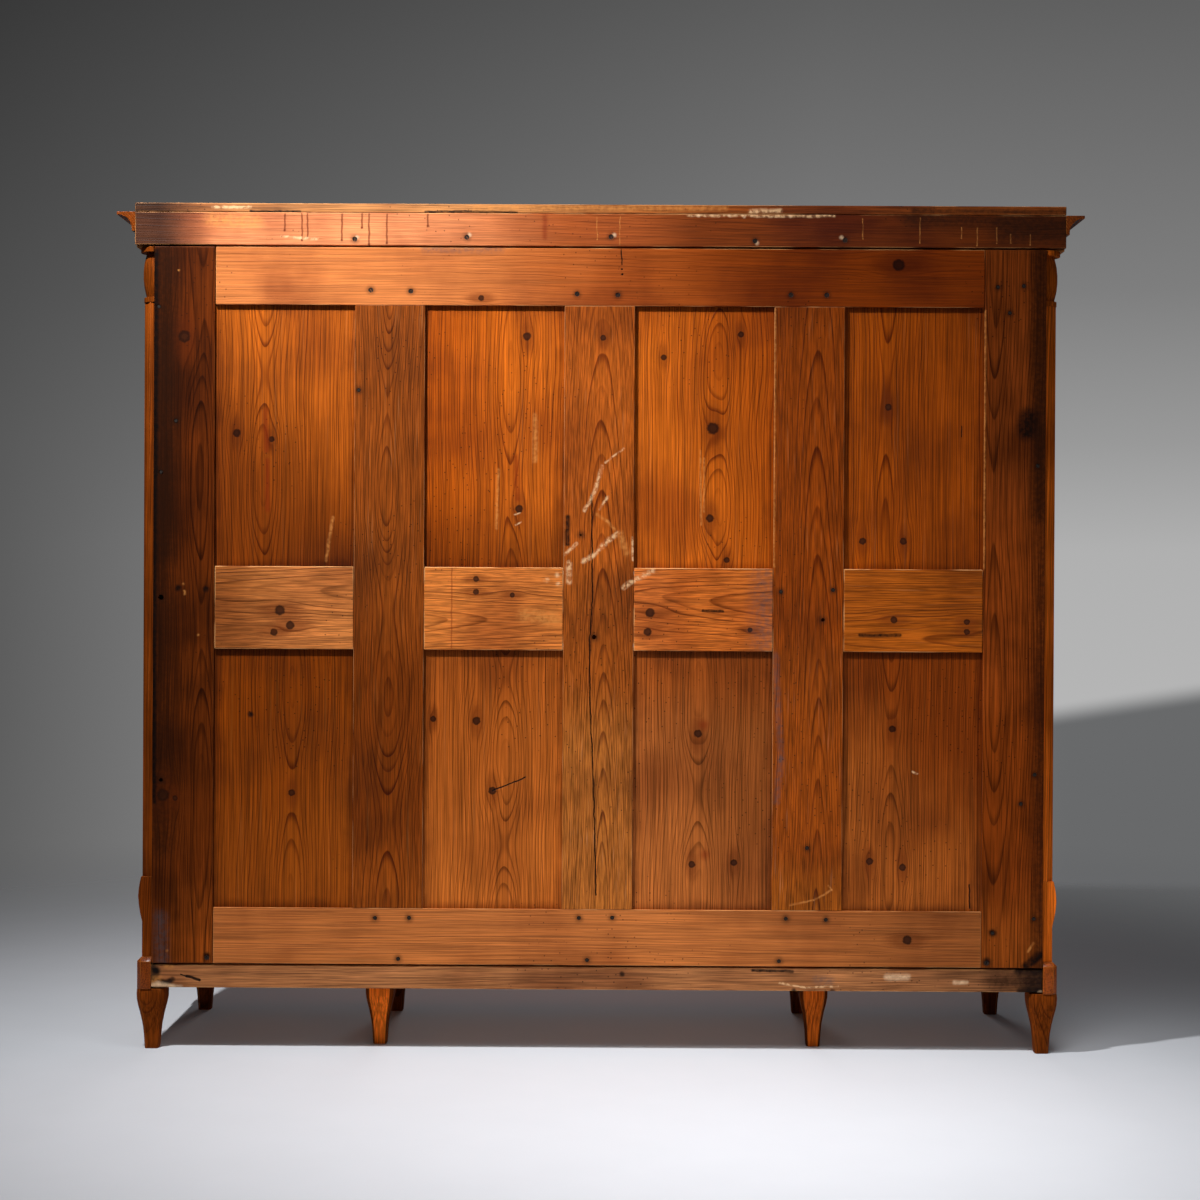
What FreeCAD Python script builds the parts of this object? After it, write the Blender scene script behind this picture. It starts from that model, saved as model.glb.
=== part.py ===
"""Four-door display cabinet with a frame-and-panel back, half columns, plinth, club feet and cornice.

Millimetres. X runs along the width, Y from the doors (negative) to the back (positive), Z up.
The origin is on the floor, under the middle of the cornice's outline.
"""
import FreeCAD, Part
import os

from FreeCAD import Vector

# Body
body_width = 2144.0
body_depth = 500.0
body_height = 1722.0
board_thickness = 30.0

# Feet: share of the height, and width across the flats there
foot_height = 147.0
foot_profile = (
    (0.0, 33.0), (0.12, 35.5), (0.24, 37.5), (0.36, 41.0), (0.48, 46.5),
    (0.6, 53.5), (0.72, 62.0), (0.83, 67.5), (0.92, 68.5), (1.0, 66.5),
)
foot_facet = 0.26
rear_foot_setback = 36.0
inner_foot_setback = 100.0
corner_foot_outset = 2.0
front_foot_inset = 36.0

# Plinth
plinth_height = 63.0
plinth_projection = 18.0
plinth_rail_thickness = 40.0
plinth_rear_thickness = 30.0
plinth_rear_recess = 3.0
bearer_width = 90.0
block_step = 13.0
block_chamfer = 10.0
block_margin = 4.0
block_inset = 16.0
block_tail = 22.0
rear_block_reach = 35.0

# Frame joints and panels
tenon_length = 40.0
tenon_thickness = 8.0
tenon_shoulder = 16.0
tenon_gap = 1.0
groove_depth = 10.0
panel_thickness = 8.0
panel_recess = 9.0
panel_gap = 1.0

# Back
back_thickness = 22.0
back_stile_width = 150.0
back_muntin_width = 170.0
back_bottom_rail = 135.0
back_top_rail = 139.0
back_mid_rail = 200.0
back_lower_panel = 621.0
back_bay_count = 4

# Sides, partitions and front posts
side_thickness = 36.0
side_stile_width = 80.0
partition_offset = 529.0
partition_thickness = 24.0
post_width = 76.0
post_depth = 36.0

# Shelves
shelf_count = 4
shelf_thickness = 25.0
shelf_front_setback = 45.0
shelf_gap = 1.0
bearer_section = 20.0

# Half columns
column_width = 54.0
column_depth = 27.0
column_facet = 16.0
column_setback = 2.0
capital_height = 132.0
capital_top_radius = 38.0
capital_vase_radius = 32.0
capital_neck_radius = 24.0
capital_low_radius = 30.0
capital_ring_height = 12.0
console_height = 193.0
console_bulge = 34.0
console_bulge_height = 146.0
console_foot_depth = 24.0
console_foot_height = 84.0
console_fullness = 2 / 3

# Cornice
frieze_height = 83.0
frieze_overhang = 45.0
frieze_thickness = 20.0
cornice_base_thickness = 12.0
cornice_rear_gap = 4.0
dust_board_thickness = 22.0
moulding_height = 46.0
moulding_projection = 44.0
moulding_lip = 7.0
moulding_bead = 7.0
moulding_bead_projection = 8.0
moulding_hollow = 7.0

# Doors
door_thickness = 22.0
door_stile = 60.0
door_bottom_rail = 90.0
door_mid_rail = 70.0
door_top_rail = 70.0
door_panel_height = 500.0
door_gap = 2.0
meeting_gap = 3.0
rebate_width = 8.0
glass_setback = 10.0
glass_thickness = 4.0
glass_gap = 1.0
astragal_width = 16.0
astragal_depth = 8.0
stop_section = 12.0
stop_length = 60.0
stop_distance = 90.0
stop_gap = 0.3

# Hinges
hinge_gap = 3.0
hinge_length = 80.0
hinge_end_distance = 230.0
leaf_thickness = 1.2
leaf_depth = 18.0
knuckle_radius = 5.0
knuckle_clearance = 0.5
knuckle_end_gap = 0.3
pin_radius = 2.5
running_clearance = 0.06
finial_radius = 4.5

# Locks and keys
lock_rise = 120.0
lock_width = 44.0
lock_height = 60.0
lock_thickness = 12.0
lock_wall = 1.5
key_backset = 28.0
bolt_length = 30.0
bolt_height = 12.0
bolt_rise = 12.0
bolt_travel = 9.0
bolt_clearance = 0.3
strike_thickness = 1.5
strike_height = 50.0
strike_width = 14.0
strike_room = 2.0
strike_slack = 0.9
key_radius = 2.5
key_reach = 40.0
key_bow_radius = 12.0
key_bow_hole = 7.0
key_bow_thickness = 4.0
key_bit_length = 9.0
key_bit_thickness = 3.0
keyhole_slack = 0.4
escutcheon_width = 18.0
escutcheon_height = 44.0
escutcheon_thickness = 1.5
escutcheon_rounding = 0.45

# Slide bolts
slide_radius = 4.0
slide_length = 190.0
slide_travel = 18.0
slide_withdrawn = 3.0
slide_knob_radius = 3.5
slide_knob_length = 12.0
slide_hole_slack = 2.0
guide_width = 24.0
guide_height = 14.0
guide_depth = 11.0
guide_end_distance = 24.0

# How close to a face an edge counts as lying on it
touch = 0.01

# Places that follow from the sizes
half_width = body_width / 2
side_inner = half_width - side_thickness
rear = (body_depth + frieze_overhang + moulding_projection) / 2
front = rear - body_depth
plinth_bottom = foot_height
plinth_top = plinth_bottom + plinth_height
body_top = plinth_top + body_height
block_top = plinth_top + block_step
floor_top = plinth_top + board_thickness
ceiling_bottom = body_top - board_thickness
frieze_top = body_top + frieze_height
frieze_half = half_width + frieze_overhang
frieze_front = front - frieze_overhang
corner_post_inner = half_width - post_width
door_back = front + door_thickness
door_bottom = floor_top + door_gap
door_top = ceiling_bottom - door_gap
block_half = capital_top_radius + block_margin
back_rails_z = (
    (plinth_top, plinth_top + back_bottom_rail),
    (plinth_top + back_bottom_rail + back_lower_panel,
     plinth_top + back_bottom_rail + back_lower_panel + back_mid_rail),
    (body_top - back_top_rail, body_top),
)
door_mid_bottom = door_bottom + door_bottom_rail + door_panel_height
door_rails_z = (
    (door_bottom, door_bottom + door_bottom_rail),
    (door_mid_bottom, door_mid_bottom + door_mid_rail),
    (door_top - door_top_rail, door_top),
)
hinge_heights = (
    door_bottom + hinge_end_distance,
    (door_bottom + door_top) / 2,
    door_top - hinge_end_distance,
)
hinge_third = hinge_length / 3
astragal_chamfer = astragal_depth / 3
lock_height_z = door_mid_bottom + door_mid_rail + lock_rise
pin_y = front - knuckle_radius - knuckle_clearance
slide_y = door_back + guide_depth / 2
shelf_pitch = (ceiling_bottom - floor_top + shelf_thickness) / (shelf_count + 1)
shelf_depths = (front + shelf_front_setback, rear - back_thickness - shelf_gap)


def grow(span, by):
    """A range made longer at both ends."""
    return span[0] - by, span[1] + by


def box(xs, ys, zs):
    """A square-edged board between two corners, given as ranges along X, Y and Z."""
    return Part.makeBox(xs[1] - xs[0], ys[1] - ys[0], zs[1] - zs[0], Vector(xs[0], ys[0], zs[0]))


def mirrored(solids):
    """The solids, followed by their mirror images across the middle of the cabinet."""
    return solids + [solid.mirror(Vector(0, 0, 0), Vector(1, 0, 0)) for solid in solids]


def joined(shape, others):
    """One solid made of a shape and what is worked on it."""
    return shape.multiFuse(others).removeSplitter().Solids[0]


def chamfered(solid, size, picks):
    """The solid with a chamfer on the edges whose middle passes the test."""
    edges = [edge for edge in solid.Edges if picks(edge.CenterOfMass)]
    return solid.makeChamfer(size, edges)


def save(name, solids):
    """Write the solids of one node."""
    Part.makeCompound(solids).exportStep("parts/" + name + ".step")


def tenons(xs, ys, zs, upright=False, extra=0.0):
    """The two end tenons of a rail or an upright; extra makes them the mortises' length."""
    middle = (ys[0] + ys[1]) / 2
    thick = (middle - tenon_thickness / 2, middle + tenon_thickness / 2)
    reach = tenon_length + extra
    if upright:
        wide = grow(xs, -tenon_shoulder)
        return [box(wide, thick, (zs[0] - reach, zs[0])), box(wide, thick, (zs[1], zs[1] + reach))]
    tall = grow(zs, -tenon_shoulder)
    return [box((xs[0] - reach, xs[0]), thick, tall), box((xs[1], xs[1] + reach), thick, tall)]


def tenoned(xs, ys, zs, upright=False):
    """A rail or an upright with its tenons."""
    return joined(box(xs, ys, zs), tenons(xs, ys, zs, upright))


def framed(xs, ys, stile_width, rails, housings):
    """The tenoned rails and the two stiles of a frame, cut for what they hold."""
    inner = grow(xs, -stile_width)
    heights = (rails[0][0], rails[-1][1])
    rail_solids = [tenoned(inner, ys, rail) for rail in rails]
    mortises = []
    for rail in rails:
        mortises += tenons(inner, ys, rail, extra=tenon_gap)
    stile_spans = ((xs[0], inner[0]), (inner[1], xs[1]))
    stiles = [box(span, ys, heights).cut(mortises) for span in stile_spans]
    return [rail.cut(housings) for rail in rail_solids], [stile.cut(housings) for stile in stiles]


def panel_box(xs, ys, zs):
    """A panel that reaches into the grooves round its opening."""
    reach = groove_depth - panel_gap
    return box(grow(xs, reach), ys, grow(zs, reach))


def groove_box(xs, ys, zs):
    """The room that the grooves round an opening give its panel."""
    return box(grow(xs, groove_depth), ys, grow(zs, groove_depth))


def between(rails):
    """The clear heights between neighbouring rails."""
    return [(low[1], high[0]) for low, high in zip(rails, rails[1:])]


def foot(x, y):
    """A faceted club foot, narrow at the floor, under the plinth."""
    sections = []
    for share, width in foot_profile:
        flat = width / 2
        cut = flat * (1 - foot_facet)
        z = share * foot_height
        corners = [(flat, -cut), (flat, cut), (cut, flat), (-cut, flat)]
        corners += [(-px, -py) for px, py in corners]
        points = [Vector(x + px, y + py, z) for px, py in corners]
        sections.append(Part.makePolygon(points + points[:1]))
    return Part.makeLoft(sections, True, True)


def build_feet():
    """Eight feet: four at the corners and four under the partitions."""
    rear_feet = [foot(half_width + corner_foot_outset, rear - rear_foot_setback)]
    rear_feet.append(foot(partition_offset, rear - inner_foot_setback))
    front_feet = [foot(half_width - front_foot_inset, front), foot(partition_offset, front)]
    save("feet_rear", mirrored(rear_feet))
    save("feet_front", mirrored(front_feet))


def raised_edge(at, from_body, from_face):
    """Whether an edge of a block, by its middle, is on its free top or upright on its outer face."""
    on_top = at.z > block_top - touch and from_body > touch
    on_face = from_face < touch and at.z > plinth_bottom + touch
    return on_top or on_face


def front_block(xs):
    """A plinth block under a front column, stepped up in front of the body."""
    base = box(xs, (front - block_half, front + block_tail), (plinth_bottom, plinth_top))
    raised = box(xs, (front - block_half, front), (plinth_bottom, block_top))
    block = joined(base, [raised])
    face = front - block_half
    return chamfered(block, block_chamfer, lambda at: raised_edge(at, front - at.y, at.y - face))


def rear_block():
    """A plinth block under a rear column, stepped up beside the body, with a tail in front of the rear rail."""
    ys = (rear - column_setback - capital_top_radius - block_half, rear)
    tail_ys = (ys[0], rear - plinth_rear_recess - plinth_rear_thickness)
    tail = box((half_width - block_inset, half_width), tail_ys, (plinth_bottom, plinth_top))
    raised = box((half_width, half_width + rear_block_reach), ys, (plinth_bottom, block_top))
    block = joined(raised, [tail])
    face = half_width + rear_block_reach
    return chamfered(block, block_chamfer, lambda at: raised_edge(at, at.x - half_width, face - at.x))


def build_plinth():
    """The plinth: blocks under the columns, rails between them and bearers over the inner feet."""
    heights = (plinth_bottom, plinth_top)
    outer = half_width + plinth_projection
    corner = (corner_post_inner - block_margin, outer + block_margin)
    middle = (partition_offset - block_half, partition_offset + block_half)
    save("plinth_blocks", mirrored([rear_block(), front_block(corner), front_block(middle)]))

    rail_front = (front - plinth_projection, front - plinth_projection + plinth_rail_thickness)
    rear_block_front = rear - column_setback - capital_top_radius - block_half
    side_rail = box((outer - plinth_rail_thickness, outer), (front + block_tail, rear_block_front), heights)
    bay_rail = box((middle[1], corner[0]), rail_front, heights)
    centre_rail = box((-middle[0], middle[0]), rail_front, heights)
    save("plinth_rails", mirrored([side_rail, bay_rail]) + [centre_rail])

    rear_ys = (rear - plinth_rear_recess - plinth_rear_thickness, rear - plinth_rear_recess)
    save("plinth_rear_rail", [box((-half_width, half_width), rear_ys, heights)])

    bearer_xs = (partition_offset - bearer_width / 2, partition_offset + bearer_width / 2)
    bearer_front = front + max(block_tail, plinth_rail_thickness - plinth_projection)
    save("plinth_bearers", mirrored([box(bearer_xs, (bearer_front, rear_ys[0]), heights)]))


def build_back():
    """The frame-and-panel back: stiles, rails, muntins, mid rails and eight panels."""
    ys = (rear - back_thickness, rear)
    panel_ys = (rear - panel_recess - panel_thickness, rear - panel_recess)
    outer = (-half_width, half_width)
    field = grow(outer, -back_stile_width)
    bottom, middle, top = back_rails_z
    muntin_count = back_bay_count - 1
    bay_width = (field[1] - field[0] - muntin_count * back_muntin_width) / back_bay_count
    starts = [field[0] + index * (bay_width + back_muntin_width) for index in range(back_bay_count)]
    bays = [(start, start + bay_width) for start in starts]
    muntin_spans = [(left[1], right[0]) for left, right in zip(bays, bays[1:])]
    upright = (bottom[1], top[0])

    fields = [(bay, heights) for bay in bays for heights in between(back_rails_z)]
    housings = [groove_box(bay, panel_ys, heights) for bay, heights in fields]
    for span in muntin_spans:
        housings += tenons(span, ys, upright, upright=True, extra=tenon_gap)
    mid_mortises = []
    for bay in bays:
        mid_mortises += tenons(bay, ys, middle, extra=tenon_gap)

    rails, stiles = framed(outer, ys, back_stile_width, (bottom, top), housings)
    grooves = housings[:len(fields)]
    muntins = [tenoned(span, ys, upright, upright=True) for span in muntin_spans]
    save("back_rails", rails)
    save("back_stiles", [stile.cut(mid_mortises) for stile in stiles])
    save("back_muntins", [muntin.cut(grooves + mid_mortises) for muntin in muntins])
    save("back_mid_rails", [tenoned(bay, ys, middle).cut(grooves) for bay in bays])
    save("back_panels", [panel_box(bay, panel_ys, heights) for bay, heights in fields])


def turned_to_side(solid):
    """A frame drawn along X, turned to stand along the right side of the body."""
    return solid.rotated(Vector(0, 0, 0), Vector(0, 0, 1), 90)


def build_sides():
    """The two side frames with their panels."""
    xs = (front, rear - back_thickness)
    ys = (-half_width, -side_inner)
    panel_ys = (-half_width + panel_recess, -half_width + panel_recess + panel_thickness)
    inner = grow(xs, -side_stile_width)
    fields = between(back_rails_z)
    grooves = [groove_box(inner, panel_ys, heights) for heights in fields]
    rails, posts = framed(xs, ys, side_stile_width, back_rails_z, grooves)
    panels = [panel_box(inner, panel_ys, heights) for heights in fields]
    save("side_rails", mirrored([turned_to_side(rail) for rail in rails]))
    save("side_posts", mirrored([turned_to_side(post) for post in posts]))
    save("side_panels", mirrored([turned_to_side(panel) for panel in panels]))


def slide_bolt_x():
    """Where the slide bolts stand: the middle of the passive door's meeting stile."""
    return -meeting_gap / 2 - door_stile / 2


def build_boards():
    """Floor, ceiling and partitions; floor and ceiling are bored for the slide bolts."""
    depths = (front, rear - back_thickness)
    bore_radius = slide_radius + slide_hole_slack
    reach = slide_travel + slide_withdrawn
    floor_bore = Part.makeCylinder(bore_radius, reach, Vector(slide_bolt_x(), slide_y, floor_top - reach))
    ceiling_bore = Part.makeCylinder(bore_radius, reach, Vector(slide_bolt_x(), slide_y, ceiling_bottom))
    across = (-side_inner, side_inner)
    save("floor_board", [box(across, depths, (plinth_top, floor_top)).cut(floor_bore)])
    save("ceiling_board", [box(across, depths, (ceiling_bottom, body_top)).cut(ceiling_bore)])
    thickness = (partition_offset - partition_thickness / 2, partition_offset + partition_thickness / 2)
    board = box(thickness, (front + post_depth, rear - back_thickness), (floor_top, ceiling_bottom))
    save("partitions", mirrored([board]))


def bay_spans():
    """The clear widths of the three bays."""
    near = partition_offset - partition_thickness / 2
    far = partition_offset + partition_thickness / 2
    return (-side_inner, -far), (-near, near), (far, side_inner)


def build_shelves():
    """Shelves in three bays, each on two bearers."""
    shelves = []
    bearers = []
    for level in range(1, shelf_count + 1):
        top = floor_top + level * shelf_pitch
        for span in bay_spans():
            shelves.append(box(grow(span, -shelf_gap), shelf_depths, (top - shelf_thickness, top)))
            heights = (top - shelf_thickness - bearer_section, top - shelf_thickness)
            for xs in ((span[0], span[0] + bearer_section), (span[1] - bearer_section, span[1])):
                bearers.append(box(xs, shelf_depths, heights))
    save("shelves", shelves)
    save("shelf_bearers", bearers)


def column_places():
    """Axis and turn of each half column on the right half of the cabinet."""
    rear_axis = rear - column_setback - capital_top_radius
    corner_axis = half_width - post_width / 2
    return (half_width, rear_axis, 90), (corner_axis, front, 0), (partition_offset, front, 0)


def set_up(solid, z):
    """Copies of a half-column piece, drawn facing the front, at every column."""
    turned = []
    for x, y, turn in column_places():
        turned.append(solid.rotated(Vector(0, 0, 0), Vector(0, 0, 1), turn).translated(Vector(x, y, z)))
    return mirrored(turned)


def capital():
    """A turned vase between two rings, cut in half against the body."""
    top = capital_height
    ring = capital_ring_height
    neck_top = Vector(capital_neck_radius, 0, top - ring)
    neck_bottom = Vector(capital_neck_radius, 0, ring)
    belly = Vector(capital_vase_radius, 0, top / 2)
    lower = [(0, 0), (capital_low_radius, 0), (capital_low_radius, ring), (capital_neck_radius, ring)]
    upper = [(capital_neck_radius, top - ring), (capital_top_radius, top - ring), (capital_top_radius, top)]
    upper += [(0, top), (0, 0)]
    edges = Part.makePolygon([Vector(r, 0, z) for r, z in lower]).Edges
    edges.append(Part.Arc(neck_bottom, belly, neck_top).toShape())
    edges += Part.makePolygon([Vector(r, 0, z) for r, z in upper]).Edges
    face = Part.Face(Part.Wire(Part.__sortEdges__(edges)))
    return face.revolve(Vector(0, 0, 0), Vector(0, 0, 1), -180)


def console():
    """The bulged base of a half column, shaped in side view."""
    knee = Vector(0, -console_foot_depth, console_foot_height)
    belly = Vector(0, -console_bulge, console_bulge_height)
    crown = Vector(0, -column_depth, console_height)
    rise = Vector(0, knee.y + console_fullness * (belly.y - knee.y), (knee.z + belly.z) / 2)
    fall = Vector(0, crown.y + console_fullness * (belly.y - crown.y), (belly.z + crown.z) / 2)
    foot_points = [Vector(0, 0, console_height), Vector(0, 0, 0), Vector(0, -console_foot_depth, 0), knee]
    edges = Part.makePolygon(foot_points).Edges
    edges.append(Part.Arc(knee, rise, belly).toShape())
    edges.append(Part.Arc(belly, fall, crown).toShape())
    edges.append(Part.makeLine(crown, foot_points[0]))
    face = Part.Face(Part.Wire(Part.__sortEdges__(edges)))
    return face.extrude(Vector(column_width, 0, 0)).translated(Vector(-column_width / 2, 0, 0))


def shaft(length):
    """A half-octagon shaft."""
    side = column_width / 2
    inner = side - column_facet
    edge = column_depth - column_facet
    half = [(side, 0), (side, -edge), (inner, -column_depth)]
    outline = half + [(-x, y) for x, y in reversed(half)]
    points = [Vector(x, y, 0) for x, y in outline]
    return Part.Face(Part.makePolygon(points + points[:1])).extrude(Vector(0, 0, length))


def build_columns():
    """Half columns: console, shaft and capital, from the plinth blocks to the cornice."""
    shaft_bottom = block_top + console_height
    shaft_top = body_top - capital_height
    save("column_consoles", set_up(console(), block_top))
    save("column_shafts", set_up(shaft(shaft_top - shaft_bottom), shaft_bottom))
    save("column_capitals", set_up(capital(), shaft_top))


def moulding_face(place):
    """The cornice moulding's section: a lip, a hollow and a bead; place sets a point of it in space."""
    low = frieze_top - moulding_height
    lip = (moulding_projection, frieze_top - moulding_lip)
    bead = (moulding_bead_projection, low + moulding_bead)
    middle = ((lip[0] + bead[0]) / 2 - moulding_hollow, (lip[1] + bead[1]) / 2 + moulding_hollow)
    outline = [bead, (moulding_bead_projection, low), (0, low), (0, frieze_top)]
    outline += [(moulding_projection, frieze_top), lip]
    edges = Part.makePolygon([place(*point) for point in outline]).Edges
    edges.append(Part.Arc(place(*lip), place(*middle), place(*bead)).toShape())
    return Part.Face(Part.Wire(Part.__sortEdges__(edges)))


def mitre_wedge(corner_x, corner_y):
    """What is cut off a moulding at a front corner; the corner is the one that goes."""
    outline = [(frieze_half, frieze_front), (corner_x, corner_y)]
    outline.append((frieze_half + moulding_projection, frieze_front - moulding_projection))
    points = [Vector(x, y, body_top) for x, y in outline]
    return Part.Face(Part.makePolygon(points + points[:1])).extrude(Vector(0, 0, frieze_height))


def build_mouldings():
    """The cornice mouldings on the front and both sides, mitred at the front corners."""
    tip_x = frieze_half + moulding_projection
    tip_y = frieze_front - moulding_projection
    side = moulding_face(lambda p, z: Vector(frieze_half + p, tip_y, z)).extrude(Vector(0, rear - tip_y, 0))
    run = moulding_face(lambda p, z: Vector(-tip_x, frieze_front - p, z)).extrude(Vector(2 * tip_x, 0, 0))
    side = side.cut(mitre_wedge(frieze_half, tip_y))
    run = run.cut(mirrored([mitre_wedge(tip_x, frieze_front)]))
    save("cornice_mouldings", mirrored([side]) + [run])


def build_cornice():
    """The cornice box: base board, frieze, rear board and dust board."""
    across = (-frieze_half, frieze_half)
    rear_inner = rear - frieze_thickness
    base_top = body_top + cornice_base_thickness
    heights = (base_top, frieze_top)
    front_ys = (frieze_front, frieze_front + frieze_thickness)
    save("cornice_base", [box(across, (frieze_front, rear_inner), (body_top, base_top))])
    side = box((frieze_half - frieze_thickness, frieze_half), (front_ys[1], rear_inner), heights)
    save("cornice_frieze", mirrored([side]) + [box(across, front_ys, heights)])
    save("cornice_rear_board", [box(across, (rear_inner, rear), (body_top + cornice_rear_gap, frieze_top))])
    dust_heights = (frieze_top, frieze_top + dust_board_thickness)
    save("dust_board", [box(across, (frieze_front, rear), dust_heights)])


def door_spans():
    """Name, width range, hinged edge (-1 low X, 1 high X) and lock of each door."""
    near = partition_offset - post_width / 2
    far = partition_offset + post_width / 2
    outer = (far + door_gap, corner_post_inner - hinge_gap)
    inner = (meeting_gap / 2, near - hinge_gap)
    return (
        ("left", (-outer[1], -outer[0]), -1, True),
        ("centre_left", (-inner[1], -inner[0]), -1, False),
        ("centre_right", inner, 1, True),
        ("right", outer, 1, True),
    )


def from_edge(xs, hinge, start, end):
    """A range measured from a door's free edge: positive into the door, negative past its edge."""
    if hinge < 0:
        return xs[1] - end, xs[1] - start
    return xs[0] + start, xs[0] + end


def lock_depths():
    """The lock case's place in the door's thickness."""
    return front + (door_thickness - lock_thickness) / 2, front + (door_thickness + lock_thickness) / 2


def bolt_depths():
    """The lock bolt's place in the door's thickness."""
    return grow(lock_depths(), -lock_wall - bolt_clearance)


def bolt_heights():
    """The lock bolt's heights, above the key's sweep."""
    return lock_height_z + bolt_rise, lock_height_z + bolt_rise + bolt_height


def case_heights():
    """The lock case's heights."""
    return lock_height_z - lock_height / 2, lock_height_z + lock_height / 2


def strike_heights():
    """The strike plate's heights, centred on the bolt."""
    middle = sum(bolt_heights()) / 2
    return middle - strike_height / 2, middle + strike_height / 2


def strike_depths():
    """The strike plate's place in the door's thickness."""
    middle = sum(lock_depths()) / 2
    return middle - strike_width / 2, middle + strike_width / 2


def bolt_room(xs, hinge, start, end, slack):
    """The room round a lock bolt between two distances from the free edge."""
    return box(from_edge(xs, hinge, start, end), grow(bolt_depths(), slack), grow(bolt_heights(), slack))


def strike_box(xs, hinge, gap):
    """A strike plate let into what the door shuts against, across a gap."""
    return box(from_edge(xs, hinge, -gap - strike_thickness, -gap), strike_depths(), strike_heights())


def strike_mortise(xs, hinge, gap):
    """The mortise behind a strike plate."""
    return bolt_room(xs, hinge, -bolt_travel - strike_room, -gap, strike_slack)


def key_x(xs, hinge):
    """Where a door's key turns."""
    return from_edge(xs, hinge, key_backset, key_backset)[0]


def keyhole(x, ys):
    """A keyhole: a round hole for the shank and a slot below it for the bit."""
    depth = ys[1] - ys[0]
    start = Vector(x, ys[0], lock_height_z)
    round_hole = Part.makeCylinder(key_radius + running_clearance, depth, start, Vector(0, 1, 0))
    half = key_bit_thickness / 2 + keyhole_slack
    slot = box((x - half, x + half), ys, (lock_height_z - key_bit_length - keyhole_slack, lock_height_z))
    return round_hole.fuse(slot)


def build_lock(name, xs, hinge):
    """A mortise lock with its escutcheon, its bolt and its key."""
    ys = lock_depths()
    heights = case_heights()
    x = key_x(xs, hinge)
    case = box(from_edge(xs, hinge, 0, lock_width), ys, heights)
    inside = from_edge(xs, hinge, lock_wall, lock_width - lock_wall)
    hollow = box(inside, grow(ys, -lock_wall), grow(heights, -lock_wall))
    mouth = bolt_room(xs, hinge, 0, lock_wall, bolt_clearance)
    case = case.cut([hollow, mouth, keyhole(x, (ys[0], ys[0] + lock_wall))])

    plate_xs = (x - escutcheon_width / 2, x + escutcheon_width / 2)
    plate_ys = (front - escutcheon_thickness, front)
    plate_zs = (lock_height_z - escutcheon_height / 2, lock_height_z + escutcheon_height / 2)
    plate = box(plate_xs, plate_ys, plate_zs)
    corners = [edge for edge in plate.Edges if edge.BoundBox.YLength > touch]
    plate = plate.makeFillet(escutcheon_rounding * escutcheon_width, corners)
    save("lock_" + name, [case, plate.cut(keyhole(x, plate_ys))])
    save("lock_bolt_" + name, [box(from_edge(xs, hinge, 0, bolt_length), bolt_depths(), bolt_heights())])
    save("key_" + name, [key(x, ys)])


def key(x, case_ys):
    """A key in its lock: bow in front, shank through the keyhole, bit hanging in the case."""
    inside = grow(case_ys, -lock_wall - bolt_clearance)
    bow_start = Vector(x - key_bow_thickness / 2, front - key_reach, lock_height_z)
    bow = Part.makeCylinder(key_bow_radius, key_bow_thickness, bow_start, Vector(1, 0, 0))
    eye = Part.makeCylinder(key_bow_hole, key_bow_thickness, bow_start, Vector(1, 0, 0))
    shank_start = Vector(x, front - key_reach + (key_bow_radius + key_bow_hole) / 2, lock_height_z)
    shank = Part.makeCylinder(key_radius, inside[1] - shank_start.y, shank_start, Vector(0, 1, 0))
    half = key_bit_thickness / 2
    bit = box((x - half, x + half), inside, (lock_height_z - key_bit_length, lock_height_z))
    return joined(bow.cut(eye), [shank, bit])


def knuckle(x, z0, z1):
    """A hinge knuckle, not yet bored."""
    return Part.makeCylinder(knuckle_radius, z1 - z0, Vector(x, pin_y, z0))


def hinge_leaf(x, leaf_xs, middle, spans):
    """A hinge leaf in the gap beside a door, with a knuckle over each span, bored for the pin."""
    heights = (middle - hinge_length / 2, middle + hinge_length / 2)
    plate = box(leaf_xs, (front, front + leaf_depth), heights)
    pieces = []
    for z0, z1 in spans:
        pieces.append(box(leaf_xs, (pin_y, front), (z0, z1)))
        pieces.append(knuckle(x, z0, z1))
    bore = Part.makeCylinder(pin_radius + running_clearance, hinge_length, Vector(x, pin_y, heights[0]))
    return joined(plate, pieces).cut(bore)


def hinge_pin(x, middle):
    """A hinge pin with a round finial at each end."""
    bottom = middle - hinge_length / 2
    pin = Part.makeCylinder(pin_radius, hinge_length, Vector(x, pin_y, bottom))
    finials = []
    for z, facing in ((bottom, -1), (bottom + hinge_length, 1)):
        finials.append(Part.makeSphere(finial_radius, Vector(x, pin_y, z), Vector(0, 0, facing), 0, 90, 360))
    return joined(pin, finials)


def build_hinges():
    """Three butt hinges on each door: door leaves by door, post leaves and pins together."""
    post_leaves = []
    pins = []
    for name, xs, hinge, _ in door_spans():
        edge = xs[0] if hinge < 0 else xs[1]
        x = edge + hinge * hinge_gap / 2
        door_leaf_xs = sorted((edge, edge + hinge * leaf_thickness))
        post_leaf_xs = sorted((edge + hinge * (hinge_gap - leaf_thickness), edge + hinge * hinge_gap))
        door_leaves = []
        for middle in hinge_heights:
            inner = (middle - hinge_third / 2, middle + hinge_third / 2)
            low = (middle - hinge_length / 2, inner[0] - knuckle_end_gap)
            high = (inner[1] + knuckle_end_gap, middle + hinge_length / 2)
            door_leaves.append(hinge_leaf(x, door_leaf_xs, middle, [inner]))
            post_leaves.append(hinge_leaf(x, post_leaf_xs, middle, [low, high]))
            pins.append(hinge_pin(x, middle))
        save("door_leaves_" + name, door_leaves)
    save("post_leaves", post_leaves)
    save("hinge_pins", pins)


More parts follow.
